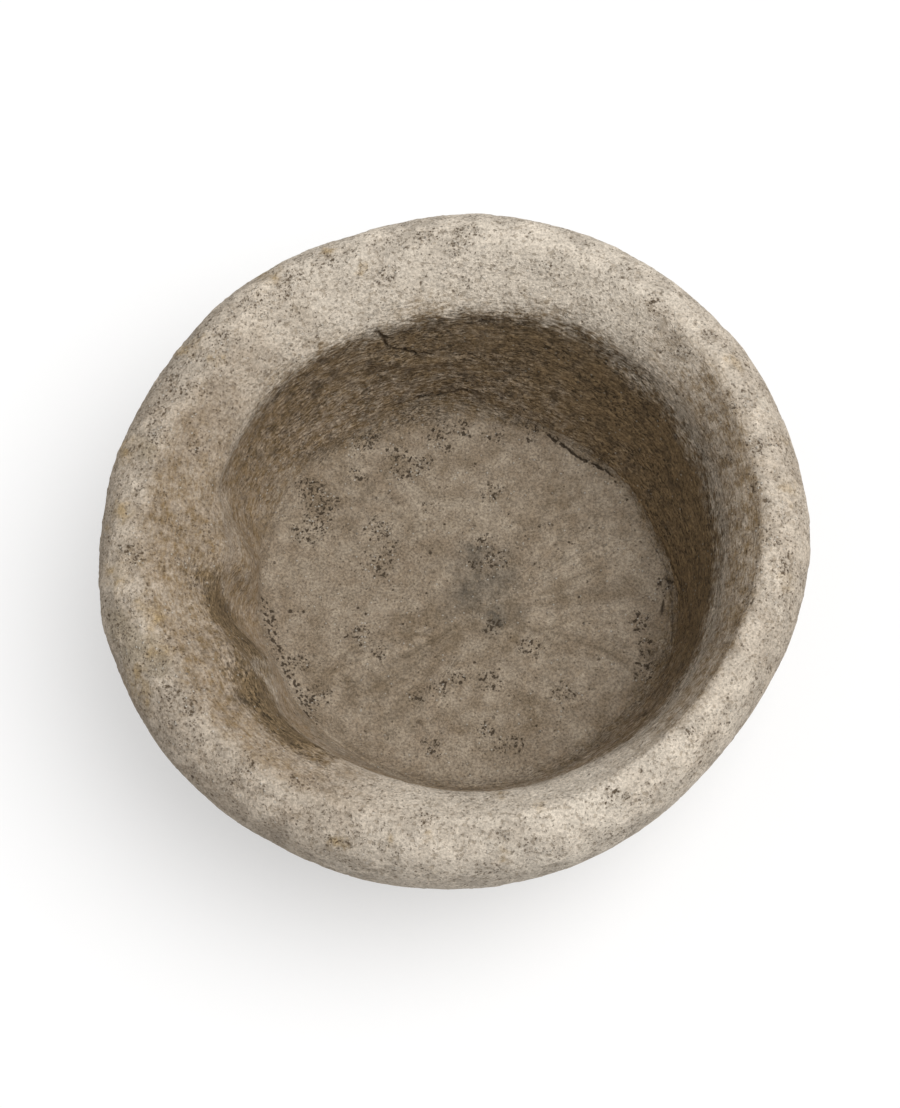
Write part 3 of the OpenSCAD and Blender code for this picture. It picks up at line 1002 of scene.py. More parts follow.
def read_table(table, row, column):
    """Values of a table between its entries. The rows go round the axis."""
    column = np.clip(column, 0, table.shape[1] - JUST_INSIDE)
    i, j = np.floor(row).astype(int), np.floor(column).astype(int)
    a, b = row - i, column - j
    i, after = i % len(table), (i + 1) % len(table)
    before_it = (1 - a) * table[i, j] + a * table[after, j]
    past_it = (1 - a) * table[i, j + 1] + a * table[after, j + 1]
    return (1 - b) * before_it + b * past_it


wall_height = read_table(wall_table, towards / 360 * COLUMNS, (-from_edge - TABLE_START) / TABLE_STEP)
at_ten = wall_table[:, np.searchsorted(table_offsets, 10)]
print("wall 10 mm past the edge of the floor stands", round(at_ten.min()), "to", round(at_ten.max()), "mm high")

# %% [markdown]
# The height of the bed comes from the CAD solid's rings. Near the wall it changes over into the wall's height
# through a hollow curve, as mortar does that a thumb has smoothed into a corner. The curve is larger at the left
# than at the right. Higher up the bed's surface sinks into the wall little by little, so its end isn't seen.

# %% Height of the mortar bed
FILLET = {0: 16, 45: 18, 80: 26, 110: 30, 150: 40, 240: 40, 300: 24}  # four times the curve's depth, by direction
TOP_SHARES = [0.0, 0.3, 0.55, 0.8, 1.0]  # where the rings of the solid's top lie
RINGS = len(TOP_SHARES) - 1
HIGHEST_CURL = 45
SUNK, SUNK_PER_MM = 0.6, 0.12  # into the wall, and more for each millimetre of height
SUNK_AT_END, END_WIDTH = 8, 5
ring_heights = [np.full(DIRECTIONS, bed_sections[:, 0, 1].mean())]
ring_heights += [bed_sections[:, k, 1] for k in range(RINGS)]
ring_values = np.stack([round_list(h, towards) for h in ring_heights])
bed_height = ring_values[0].copy()
for k in range(RINGS):
    bed_height += ramp(reach / cad_edge, TOP_SHARES[k], TOP_SHARES[k + 1]) * (ring_values[k + 1] - ring_values[k])
above = np.minimum(wall_height - bed_height / MM, HIGHEST_CURL)
sunk = SUNK + SUNK_PER_MM * np.maximum(above, 0) + SUNK_AT_END * ramp(-from_edge, INTO_WALL - END_WIDTH, INTO_WALL)
above = above - sunk
fillet = by_direction(FILLET, towards)
curl = np.maximum(above, 0) + np.maximum(fillet - np.abs(above), 0) ** 2 / (4 * fillet)
bed = np.stack([reach * unit[..., 0], reach * unit[..., 1], bed_height + MM * curl], axis=-1)
on_plan = bed * (1, 1, 0)
print("bed from", np.round(bed.reshape(-1, 3).min(0), 3), "to", np.round(bed.reshape(-1, 3).max(0), 3))

# %% [markdown]
# The trowel didn't reach into the corner all round. At the back and the right a strip along the wall was only
# brushed, as the wall was, and it is darkened like the wall, partly by soil and partly by painted shade from the
# wall. So the bed has the wall's strokes there: they go on across the seam, because the way down the wall goes
# on along the bed in the same coordinates.

# %% Brushed strip along the wall
TROWELLED = {
    7: 163, 15: 158, 23: 155, 34: 153, 45: 147, 61: 144, 75: 139, 88: 140, 98: 137, 109: 136, 117: 136, 132: 143,
    150: 152, 174: 152, 187: 150, 203: 152, 223: 158, 250: 154, 269: 154, 291: 157, 309: 158, 320: 159, 345: 161,
    356: 163,
}  # how far from the axis the trowelled part reaches in each direction, in millimetres
CURL_TURN = 0.9  # how much of the curl's height counts as way along the bed
edge_noise = layered(bed, 0.022, 4, 50)
past_trowel = reach / MM - by_direction(TROWELLED, towards)
brush_strip = ramp(past_trowel + 6 * edge_noise, -4, 8)
bed_lay = np.stack([
    MEAN_RADIUS * unit[..., 0], MEAN_RADIUS * unit[..., 1], travel[-1] + cad_edge - reach - CURL_TURN * MM * curl,
], axis=-1)
_, bed_strokes = brush_strokes(bed_lay, bed)
# The strip is darkened along the wall: partly soil, partly painted shade from the wall beside it
bed_soil_and_shade = 0.55 * ramp(past_trowel + 7 * edge_noise, -7, 14) * by_direction(SOIL_AND_SHADE_LEVEL, towards)
bed_fibrous = brush_strip * by_direction(STROKES_SHOW, towards)
print("brushed strip:", round(100 * float(brush_strip.mean())), "% of the bed")

# %% [markdown]
# The trowel was swept out from one spot near the middle, so faint strokes spread from there like the ribs
# of a fan, most of all to the right and towards the lower left. Coordinates that run round that spot and
# slowly outwards give them: noise cells become wedges.

# %% Fan of the trowel
TROWEL_START = np.array([24.7, -16.9, 45]) * MM
FAN_SIZE, FAN_OUTWARDS, FAN_WANDER = 0.1, 1.6, 0.002
from_start = bed - TROWEL_START
far = np.linalg.norm(from_start, axis=-1)
swept = np.degrees(np.arctan2(from_start[..., 1], from_start[..., 0]))
swept_vector = np.stack([np.cos(np.radians(swept)), np.sin(np.radians(swept)), FAN_OUTWARDS * far], axis=-1)
fan = FAN_SIZE * swept_vector + FAN_WANDER * pushed_about(bed, 0.03, 120)


def swept_side(direction, width):
    """1 in one direction from where the trowel started, 0 at `width` degrees from it."""
    return ramp(np.abs((swept - direction + 180) % 360 - 180), width, 0.3 * width)


fan_sides = np.maximum(swept_side(8, 60), swept_side(222, 50))
fan_share = (0.25 + 0.75 * fan_sides) * ramp(far, 0.008, 0.045) * ramp(far, 0.15, 0.09)
ribs = layered(fan, 0.034, 3, 100) * fan_share
print("ribs from", round(float(ribs.min()), 2), "to", round(float(ribs.max()), 2))

# %% [markdown]
# Where the surface paste of the bed is worn, the grit shows as clusters of small dark holes. The clusters and
# the single deep pin holes lie where the photograph shows them, and so does the line of voids at the left,
# where bed and wall meet. They are placed on the plan of the bed, so that its curl doesn't matter.

# %% Clusters, holes and voids of the bed
BED_CLUSTERS = [
    (-114, 80, 15), (-108, 58, 17), (-119, 42, 13), (-98, 70, 10), (-60, 47, 13), (-59, 18, 17), (-50, 32, 10),
    (-38, 99, 15), (-24, 104, 10), (29, 79, 10), (23, 38, 8), (30, 23, 15), (16, 20, 8), (-46, 112, 9),
    (-74, -39, 12), (-58, -55, 10), (-29, -89, 9), (-13, -82, 9), (2, -74, 8), (26, -75, 12), (83, -84, 12),
    (37, -126, 10), (48, -126, 8), (22, -116, 9), (-16, -128, 10), (58, -49, 10), (30, -31, 10), (143, -28, 12),
    (148, -51, 10), (147, -69, 12), (163, 3, 8), (-12, 130, 12), (6, 132, 10), (30, 128, 10), (-76, 115, 8),
    (-78, 92, 10), (-21, 66, 7), (-11, 118, 8), (-120, -60, 10), (-104, -88, 12), (60, 128, 9), (-66, 122, 9),
]  # right, back and size in millimetres
CLUSTER_WIDER = 1.15
SINGLE_HOLES = [
    (16, 103, 1.3), (66, 50, 1.6), (89, 37, 1.5), (-19, 28, 1.9), (62, 19, 1.2), (105, 49, 1.2), (55, 42, 1.0),
    (-75, -17, 1.4), (-22, -5, 1.2), (15, -61, 1.5), (62, -112, 1.3), (-127, -20, 2.2), (-117, -20, 1.6),
    (-69, -22, 1.4), (135, 72, 1.2), (-48, -2, 1.0), (42, 60, 1.0), (-8, 52, 1.1), (96, -8, 1.1), (-40, -30, 1.1),
]  # right, back and radius in millimetres
BED_VOIDS = ((-145, -17), (-142, -34), (-137, -52), (-129, -70), (-119, -86), (-112, -104), (-106, -114))
BED_VOIDS_WIDE = 10


def plan_line(places_mm):
    """A line on the plan of the bed, from places in millimetres to the right and to the back."""
    return [np.array((x, y, 0)) * MM for x, y in places_mm]


cluster_places = [(x, y, 0, CLUSTER_WIDER * size) for x, y, size in BED_CLUSTERS]
bed_clusters = ramp(patches(on_plan, cluster_places, 2, 0.6, 0.3), 0.1, 0.75)
bed_scatter = ramp(layered(bed, 0.05, 3, 105), 0.0, 0.5)
void_band = furrow(on_plan, plan_line(BED_VOIDS), BED_VOIDS_WIDE * MM, 0)
bed_breaks = broken(bed, 0.0028, 0.68 - 0.5 * bed_clusters - 0.03 * bed_scatter - 0.7 * void_band, 107)
bed_holes = holes(bed, 0.0027, (0.03 + 0.04 * bed_scatter + 0.36 * bed_clusters) * (1 - 0.5 * brush_strip), 7)
for x, y, size in SINGLE_HOLES:
    bed_holes = np.maximum(bed_holes, patch(on_plan, np.array([x, y, 0]) * MM, size * MM, x, 0.5, 0.5))
in_break = np.maximum(bed_breaks, bed_holes)
print("points in a hole:", round(100 * float((in_break > 0.3).mean()), 1), "%")

# %% [markdown]
# Mortar shrinks as it dries, so the bed has hairline cracks, and at the back right it has come away from the
# wall: a crumbled crevice runs there. All of them are ragged grooves, and the crevice has pits along it as
# well.

# %% Cracks and crevice of the bed
CREVICE = ((69, 128), (81, 121), (93, 111), (104, 104), (109, 102), (120, 95), (129, 86))
BED_LINES = [
    (CREVICE, 1.6, 2.0),
    (((107, 94), (110, 75), (111, 45), (119, 20)), 1.3, 0.6),
    (((162, -5), (161, -14), (160, -24)), 1.6, 1.4),
    (((150, 40), (157, 30), (164, 14), (168, -9), (168, -30), (166, -54)), 1.1, 1.0),
    (((-70, 115), (-60, 120), (-50, 124)), 1.2, 0.6),
    (((-9, -41), (-22, -52), (-33, -66)), 1.4, 0.5),
    (((124, -47), (118, -59)), 1.4, 0.7),
    (((-31, 39), (-19, 28)), 1.4, 0.8),
    (((-30, -108), (-24, -112)), 2.2, 1.0),
    (((-140, 62), (-128, 84), (-112, 98)), 1.3, 0.6),
]  # line, width and depth in millimetres
CREVICE_REACH = 5
bed_cracks = np.zeros(bed.shape[:2])
line_push = np.zeros(bed.shape[:2])
for k, (line, width, depth) in enumerate(BED_LINES):
    cut = groove(on_plan, plan_line(line), width * MM, 5 * k, 1.2)
    line_push = np.minimum(line_push, -depth * cut)
    bed_cracks = np.maximum(bed_cracks, min(1, 0.55 * depth) * cut)
crevice = furrow(on_plan, plan_line(CREVICE), CREVICE_REACH * MM, 0)
crevice_pits = broken(bed, 0.0028, 0.75 - 0.65 * crevice, 160) * ramp(crevice, 0.05, 0.4)
bed_hole = np.maximum.reduce([in_break, bed_cracks, crevice_pits])
print("points in a hole or crack:", round(100 * float((bed_hole > 0.3).mean()), 1), "%")

# %% [markdown]
# The rest of the bed's relief is gentle: slow waves, fine unevenness, the ribs of the fan, a low step where
# the last sweep of the trowel ended at the right, and crumbs that stand up. The sum is in millimetres, and
# the whole bed is set back by a fifth of one, to make up for the lumps that stand proud of the CAD solid.

# %% Relief of the bed
STEP_LINE = plan_line(((84, 118), (104, 96), (118, 62), (127, 20), (126, -22), (117, -52)))
STEP_REACH, BRUSHED_LOWER, BED_SET_BACK = 13, 0.4, 0.2
step_off = furrow(on_plan, STEP_LINE, STEP_REACH * MM, 0.6)
crumbs = holes(bed, 0.0046, 0.06 + 0.2 * bed_clusters + 0.05 * bed_scatter + 0.1 * brush_strip, 11, 0.35, 0.2)
bed_fine = 0.32 * layered(bed, 0.011, 3, 115) + (0.14 + 0.2 * bed_clusters) * layered(bed, 0.0045, 2, 118)
standing = 0.55 * layered(bed, 0.06, 2, 110) + bed_fine + 0.6 * ribs + 0.55 * step_off + 0.45 * crumbs * (1 - bed_hole)
sunken = 0.9 * crevice_pits + 0.8 * in_break - line_push
bed_push = standing - sunken + brush_strip * (0.6 * bed_strokes - BRUSHED_LOWER)
bed[..., 2] += MM * (bed_push - BED_SET_BACK)
bed_tone = np.clip(
    0.5 + 0.55 * (bed_fine + 0.4 * crumbs - 0.7 * bed_hole + 0.3 * ribs + 0.5 * brush_strip * bed_strokes), 0, 1)
print("bed relief from", round(float(bed_push.min()), 2), "to", round(float(bed_push.max()), 2), "mm")

# %% [markdown]
# Soil and water have coloured the bed unevenly. There is a bluish grey smudge where the trowel started, brown
# areas towards the front left and paler ones along the last sweep and at the front.

# %% Stains of the bed
SMUDGES = [(27, 2, 44), (30, -24, 26), (14, 24, 20)]
BROWN_AREAS = [
    (25, -20, 40), (-77, -72, 44), (-33, -31, 26), (-6, -45, 24), (46, -42, 28), (-43, 114, 18), (-100, 66, 24),
    (60, -100, 26), (10, -100, 24), (88, 72, 20), (-16, 100, 15), (-50, 96, 20), (-92, 112, 24),
]
PALE_AREAS = [
    (-33, 79, 15), (118, -22, 20), (-118, 10, 20), (-45, -112, 20), (92, 108, 16), (56, 66, 22),
    (70, -4, 24), (10, -140, 20), (-100, -6, 18), (14, 60, 16), (-126, 6, 16), (-88, 34, 16),
]


def plan_patches(places_and_sizes, apart):
    """Soft patches on the plan of the bed."""
    return patches(on_plan, [(x, y, 0, size) for x, y, size in places_and_sizes], apart, 0.8, 0.0)


smudge = plan_patches(SMUDGES, 50)
brown = plan_patches(BROWN_AREAS, 60)
paler = np.maximum(plan_patches(PALE_AREAS, 75), 0.8 * step_off)
print("smudged, brown and pale shares:", [round(float(a.mean()), 2) for a in (smudge, brown, paler)])

# %% [markdown]
# The bed's grid becomes quads, and rings of points close its underside, where it stands on the bowl. Seen
# on the map for pictures, the top is a disc and the underside a small disc in a corner.

# %% The mortar bed
UNDER_LIP, KEYED = 0.93, 14 * MM  # the underside starts at this share of the bed's size, this high over its seat
UNDER_RINGS = (0.999, 0.96, 0.85, 0.65, 0.4)
TOP_ON_MAP, TOP_SCALE = (0.46, 0.54), 2.5
UNDER_ON_MAP, UNDER_SCALE = (0.945, 0.055), 0.22
bed_number = np.arange(BED_SIDE * BED_SIDE).reshape(BED_SIDE, BED_SIDE)
bed_quads = np.stack([
    bed_number[:-1, :-1], bed_number[1:, :-1], bed_number[1:, 1:], bed_number[:-1, 1:],
], axis=-1).reshape(-1, 4)
rim_numbers = np.concatenate([
    bed_number[:-1, 0], bed_number[-1, :-1], bed_number[:0:-1, -1], bed_number[0, :0:-1],
])
bed_top = bed.reshape(-1, 3)
under_steps = [(UNDER_LIP, BED_SEAT + KEYED)] + [(UNDER_LIP * inner, BED_SEAT) for inner in UNDER_RINGS]
under_points, under_faces = closing_rings(bed_top[rim_numbers], rim_numbers, len(bed_top), under_steps, True)
bed_points = np.concatenate([bed_top, under_points])
bed_uv = np.concatenate([
    TOP_ON_MAP + bed_top[bed_quads.ravel(), :2] * TOP_SCALE,
    disc_map(bed_points, under_faces, UNDER_ON_MAP, UNDER_SCALE),
])


def bed_padded(values, filler=0.0):
    """A number for each point of the bed's top, with a filler for the points under it."""
    return np.concatenate([values.ravel(), np.full(len(under_points), filler)])


mortar_bed = make_piece("MortarFloor", bed_points, bed_quads, under_faces, bed_uv, {
    "lay": np.concatenate([bed_lay.reshape(-1, 3), under_points]),
    "fan": np.concatenate([fan.reshape(-1, 3), under_points]),
    "hole": bed_padded(bed_hole),
    "relief": bed_padded(bed_tone, UNDER_RELIEF),
    "ribs": bed_padded(ribs),
    "fanned": bed_padded(fan_share),
    "clusters": bed_padded(bed_clusters),
    "smudge": bed_padded(smudge),
    "brown": bed_padded(brown),
    "paler": bed_padded(paler),
    "wall": bed_padded(bed_fibrous),
    "soil_and_shade": bed_padded(bed_soil_and_shade),
})

# %% [markdown]
# Both materials are the same kind of mix, so the effects that they share are shader node groups: sand
# grain, spots, pin holes, brush strokes, mottled mortar, soil and the fine parts. A group only puts out
# colours, masks and heights, and each material keeps its own Principled shader and bump. A few helpers keep
# the node trees short to write.

# %% Helpers for node trees
def add(tree, kind, **settings):
    """A new node with some of its settings."""
    node = tree.nodes.new("ShaderNode" + kind)
    for key, value in settings.items():
        setattr(node, key, value)
    return node


def put(tree, socket, value):
    """Feeds a socket with another socket, or sets its number or colour."""
    if isinstance(value, bpy.types.NodeSocket):
        tree.links.new(value, socket)
    else:
        socket.default_value = value


def maths(tree, operation, *values, clamp=False):
    """The result of one sum on values or sockets."""
    node = add(tree, "Math", operation=operation, use_clamp=clamp)
    for socket, value in zip(node.inputs, values):
        put(tree, socket, value)
    return node.outputs[0]


def stretch(tree, value, low, high, to_low=0.0, to_high=1.0):
    """Maps a range of a value to another range, smoothly and without passing its ends."""
    node = add(tree, "MapRange", interpolation_type="SMOOTHSTEP")
    for socket, number_or_socket in zip(node.inputs, (value, low, high, to_low, to_high)):
        put(tree, socket, number_or_socket)
    return node.outputs[0]


def blend(tree, amount, colour, other):
    """One colour over another by an amount."""
    node = add(tree, "Mix", data_type="RGBA")
    coloured = [socket for socket in node.inputs if socket.type == "RGBA"]
    put(tree, node.inputs["Factor"], amount)
    put(tree, coloured[0], colour)
    put(tree, coloured[1], other)
    return [socket for socket in node.outputs if socket.type == "RGBA"][0]


def darkened(tree, colour, tone):
    """A colour made darker or paler by a tone."""
    node = add(tree, "VectorMath", operation="SCALE")
    put(tree, node.inputs[0], colour)
    put(tree, node.inputs["Scale"], tone)
    return node.outputs[0]


def texture(tree, kind, position, scale, **numbers):
    """A noise or cell texture at so many cells to the metre."""
    node = add(tree, "Tex" + kind)
    put(tree, node.inputs["Vector"], position)
    put(tree, node.inputs["Scale"], scale)
    for label, value in numbers.items():
        put(tree, node.inputs[label], value)
    return node


print("helpers for nodes ready")

# %% [markdown]
# A node group is like a function: it has named inputs with first values, and named outputs. Its sockets are
# made on the group's interface, and each material that uses it sets the inputs for itself.

# %% Helpers for node groups
GREY = (0.5, 0.5, 0.5, 1)  # first value of a colour input


def new_group(name, inputs, outputs):
    """An empty node group. The first value of an input tells its kind: None is a vector, four numbers are a
    colour and one is a number. An output named Colour is a colour, and the others are numbers."""
    group = bpy.data.node_groups.new(name, "ShaderNodeTree")
    for label, first in inputs.items():
        kind = "Vector" if first is None else "Color" if isinstance(first, tuple) else "Float"
        socket = group.interface.new_socket(label, in_out="INPUT", socket_type="NodeSocket" + kind)
        if first is not None:
            socket.default_value = first
    for label in outputs:
        kind = "Color" if label == "Colour" else "Float"
        group.interface.new_socket(label, in_out="OUTPUT", socket_type="NodeSocket" + kind)
    return group, group.nodes.new("NodeGroupInput").outputs, group.nodes.new("NodeGroupOutput").inputs


def place_group(tree, group, **values):
    """A group in a material, with its values. An underscore in a name stands for a space."""
    node = add(tree, "Group", node_tree=group)
    for label, value in values.items():
        put(tree, node.inputs[label.replace("_", " ")], value)
    return node.outputs


print("helpers for groups ready")

# %% [markdown]
# Sand grain is a fine speckle of paler and darker grit. Small noise gives the tone of the mix, and a
# pattern of cells picks out single grains: a few nearly white, a few dark. The height makes the pale
# grains stand up a little.

# %% Sand grain group
sand_grain, given, result = new_group(
    "SandGrain", {"Position": None, "Grains per Metre": 430.0, "Single Grains": 0.05},
    ["Tone", "Pale Grains", "Dark Grains", "Height"])
fine_noise = texture(sand_grain, "Noise", given["Position"], given["Grains per Metre"], Detail=3.5, Roughness=0.68)
put(sand_grain, result["Tone"], stretch(sand_grain, fine_noise.outputs["Fac"], 0.3, 0.7))
grain_cells = texture(
    sand_grain, "Voronoi", given["Position"], maths(sand_grain, "MULTIPLY", given["Grains per Metre"], 0.8))
chance = add(sand_grain, "SeparateColor")
put(sand_grain, chance.inputs[0], grain_cells.outputs["Color"])
body = stretch(sand_grain, grain_cells.outputs["Distance"], 0.45, 0.2)
is_pale = maths(sand_grain, "LESS_THAN", chance.outputs[0], given["Single Grains"])
is_dark = maths(sand_grain, "LESS_THAN", chance.outputs[1], given["Single Grains"])
pale_grain = maths(sand_grain, "MULTIPLY", body, is_pale)
put(sand_grain, result["Pale Grains"], pale_grain)
put(sand_grain, result["Dark Grains"], maths(sand_grain, "MULTIPLY", body, is_dark))
put(sand_grain, result["Height"], maths(sand_grain, "MULTIPLY_ADD", pale_grain, 0.5, fine_noise.outputs["Fac"]))
print("group:", sand_grain.name)

# %% [markdown]
# Spots are the places where the stone is paler, browner or broken. Layered noise is cut at a level. With few
# spots to the metre and a soft cut they are wide patches, and with many and a hard cut they are freckles or
# tiny dark holes.

# %% Spots group
spots_group, given, result = new_group(
    "Spots", {"Position": None, "Spots per Metre": 12.0, "Detail": 4.0, "Level": 0.5, "Softness": 0.1}, ["Mask"])
spread = texture(
    spots_group, "Noise", given["Position"], given["Spots per Metre"], Detail=given["Detail"], Roughness=0.6)
put(spots_group, result["Mask"], stretch(
    spots_group, spread.outputs["Fac"],
    maths(spots_group, "SUBTRACT", given["Level"], given["Softness"]),
    maths(spots_group, "ADD", given["Level"], given["Softness"])))
print("group:", spots_group.name)

# %% [markdown]
# Pin holes smaller than the mesh's faces are drawn by the material. Each cell may hold one, with its own
# size, and its edge is warped by noise.

# %% Pin hole group
WARP = 0.0022
NARROWEST_PIN, WIDER_PIN, PIN_BOTTOM = 0.15, 0.24, 0.55
pin_hole_group, given, result = new_group(
    "PinHoles", {"Position": None, "Holes per Metre": 250.0, "Share": 0.2}, ["Mask"])
warp = texture(
    pin_hole_group, "Noise", given["Position"], maths(pin_hole_group, "MULTIPLY", given["Holes per Metre"], 1.9))
warped = add(pin_hole_group, "VectorMath", operation="MULTIPLY_ADD")
put(pin_hole_group, warped.inputs[0], warp.outputs["Color"])
warped.inputs[1].default_value = (WARP, WARP, WARP)
put(pin_hole_group, warped.inputs[2], given["Position"])
hole_cells = texture(pin_hole_group, "Voronoi", warped.outputs[0], given["Holes per Metre"])
chance = add(pin_hole_group, "SeparateColor")
put(pin_hole_group, chance.inputs[0], hole_cells.outputs["Color"])
width = maths(pin_hole_group, "MULTIPLY_ADD", chance.outputs[1], WIDER_PIN, NARROWEST_PIN)
is_open = maths(pin_hole_group, "LESS_THAN", chance.outputs[0], given["Share"])
inner = maths(pin_hole_group, "MULTIPLY", width, PIN_BOTTOM)
put(pin_hole_group, result["Mask"], maths(
    pin_hole_group, "MULTIPLY", stretch(pin_hole_group, hole_cells.outputs["Distance"], width, inner), is_open))
print("group:", pin_hole_group.name)

# %% [markdown]
# Strokes are short streaks that follow the brush or the trowel. The vector that comes in has been measured
# along them in its first two parts and across them in its third, so stretching the third part makes noise
# cells that are long and narrow. Where two more such patterns are above a level there are short dark dashes,
# which are torn places, and pale ones, which are painted highlights on the ridges of the strokes.

# %% Stroke group
DARK_AND_HIGHLIGHT_DASHES = ((1.5, 0.555), (2.2, 0.59))  # how much finer than the streaks, and the level that they are cut at
DASH_EDGE = 0.07
stroke_group, given, result = new_group(
    "Strokes", {"Along": None, "Strokes per Metre": 110.0, "Narrowness": 4.0},
    ["Tone", "Dark Dashes", "Pale Dashes", "Height"])
narrow = add(stroke_group, "CombineXYZ")
narrow.inputs[0].default_value = narrow.inputs[1].default_value = 1
put(stroke_group, narrow.inputs[2], given["Narrowness"])
stretched = add(stroke_group, "VectorMath", operation="MULTIPLY")
put(stroke_group, stretched.inputs[0], given["Along"])
put(stroke_group, stretched.inputs[1], narrow.outputs[0])
streaks = texture(
    stroke_group, "Noise", stretched.outputs[0], given["Strokes per Metre"], Detail=4.0, Roughness=0.68, Distortion=0.3)
put(stroke_group, result["Tone"], stretch(stroke_group, streaks.outputs["Fac"], 0.32, 0.68))
uneven = texture(
    stroke_group, "Noise", stretched.outputs[0],
    maths(stroke_group, "MULTIPLY", given["Strokes per Metre"], 0.15), Detail=2.0)
dense_here = stretch(stroke_group, uneven.outputs["Fac"], 0.4, 0.6, 0.3, 1.0)
dashes = []
for finer, level in DARK_AND_HIGHLIGHT_DASHES:
    pattern = texture(
        stroke_group, "Noise", stretched.outputs[0],
        maths(stroke_group, "MULTIPLY", given["Strokes per Metre"], finer), Detail=2.0, Roughness=0.6)
    dashes.append(maths(stroke_group, "MULTIPLY", dense_here, stretch(
        stroke_group, pattern.outputs["Fac"], level, level + DASH_EDGE)))
put(stroke_group, result["Dark Dashes"], dashes[0])
put(stroke_group, result["Pale Dashes"], dashes[1])
height = maths(stroke_group, "MULTIPLY_ADD", dashes[0], -0.4, streaks.outputs["Fac"])
put(stroke_group, result["Height"], maths(stroke_group, "MULTIPLY_ADD", dashes[1], 0.2, height))
print("group:", stroke_group.name)

# %% [markdown]
# Another group lays those streaks and dashes over a colour, as strongly as its share says. Pale dashes are
# painted highlights: the same colour, brighter. Dark ones are filled with dirt, so they take a colour of their own.

# %% Group that lays strokes over a colour
TONE_RANGE, DARKEST_TONE = 0.66, 0.7
HIGHLIGHT_STRENGTH, HIGHLIGHT_GAIN, DARK_STRENGTH = 0.6, 1.6, 0.85
stroked_group, given, result = new_group("StrokesOverColour", {
    "Colour": GREY, "Tone": 0.5, "Dark Dashes": 0.0, "Pale Dashes": 0.0, "Share": 0.5, "Dirt": (0.05, 0.036, 0.02, 1)},
    ["Colour"])
tone = maths(stroked_group, "MULTIPLY_ADD", given["Tone"], TONE_RANGE, DARKEST_TONE)
colour = darkened(stroked_group, given["Colour"], stretch(stroked_group, given["Share"], 0.0, 1.0, 1.0, tone))
# Pale dashes are painted highlights on the ridges of the strokes
pale = maths(stroked_group, "MULTIPLY", given["Pale Dashes"], given["Share"])
pale = maths(stroked_group, "MULTIPLY", pale, HIGHLIGHT_STRENGTH)
colour = blend(stroked_group, pale, colour, darkened(stroked_group, colour, HIGHLIGHT_GAIN))
dark = maths(stroked_group, "MULTIPLY", given["Dark Dashes"], given["Share"])
colour = blend(stroked_group, maths(stroked_group, "MULTIPLY", dark, DARK_STRENGTH), colour, given["Dirt"])
put(stroked_group, result["Colour"], colour)


def with_strokes(tree, colour, streaks, share):
    """Streaks and dashes over a colour, by a share."""
    return place_group(
        tree, stroked_group, Colour=colour, Tone=streaks["Tone"], Dark_Dashes=streaks["Dark Dashes"],
        Pale_Dashes=streaks["Pale Dashes"], Share=share)["Colour"]


print("group:", stroked_group.name)

# %% [markdown]
# The colours are written as a level surface shows them. Mortar has the same look in the floor and where it
# was smeared up the wall: a soft mottle of two sizes with browner places in it. Both materials place the same
# group at the same position, so the seam between the two pieces doesn't show where mortar covers it.

# %% Colours and mottled mortar group
PALE_STONE = (0.69, 0.612, 0.51, 1)
WORN_STONE = (0.385, 0.308, 0.23, 1)
FRECKLE = (0.25, 0.19, 0.125, 1)
OCHRE = (0.44, 0.315, 0.16, 1)
GREY_GRIT = (0.35, 0.288, 0.205, 1)
# The colour of the soil in the hollow, which also stands for the painted shade there
SOILED_AND_SHADED_STONE = (0.24, 0.165, 0.085, 1)
MORTAR = (0.265, 0.207, 0.147, 1)
MORTAR_PALE = (0.39, 0.325, 0.248, 1)
MORTAR_BROWN = (0.185, 0.138, 0.088, 1)
SMUDGE = (0.115, 0.099, 0.078, 1)
DEEP_DIRT = (0.062, 0.045, 0.029, 1)
BROWN_DIRT = (0.105, 0.072, 0.042, 1)
WHITE_GRIT = (0.74, 0.71, 0.64, 1)

MOTTLES = ((24.0, 0.5), (90.0, 0.5), (42.0, 0.56))  # spots per metre and level: broad, small and brown
mortar_group, given, result = new_group("MottledMortar", {"Position": None}, ["Colour", "Unevenness"])
broad, small, brown = [place_group(
    mortar_group, spots_group, Position=given["Position"], Spots_per_Metre=per_metre, Detail=5.0, Level=level,
    Softness=0.11)["Mask"] for per_metre, level in MOTTLES]
uneven = maths(mortar_group, "MULTIPLY_ADD", small, 0.5, maths(mortar_group, "MULTIPLY", broad, 0.5))
put(mortar_group, result["Unevenness"], uneven)
colour = blend(mortar_group, maths(mortar_group, "MULTIPLY", uneven, 0.9), MORTAR, MORTAR_PALE)
colour = blend(mortar_group, maths(mortar_group, "MULTIPLY", brown, 0.5), colour, MORTAR_BROWN)
put(mortar_group, result["Colour"], colour)
print("palest:", WHITE_GRIT[:3], "darkest:", DEEP_DIRT[:3])

# %% [markdown]
# Soil and painted shade lie over a colour by an amount. Where the amount is about a half they break up into
# ragged dashes and blotches. The tone of the strokes decides half of that, because soil stays in the low streaks.
# Where there is much of it, darker spots lie in it.

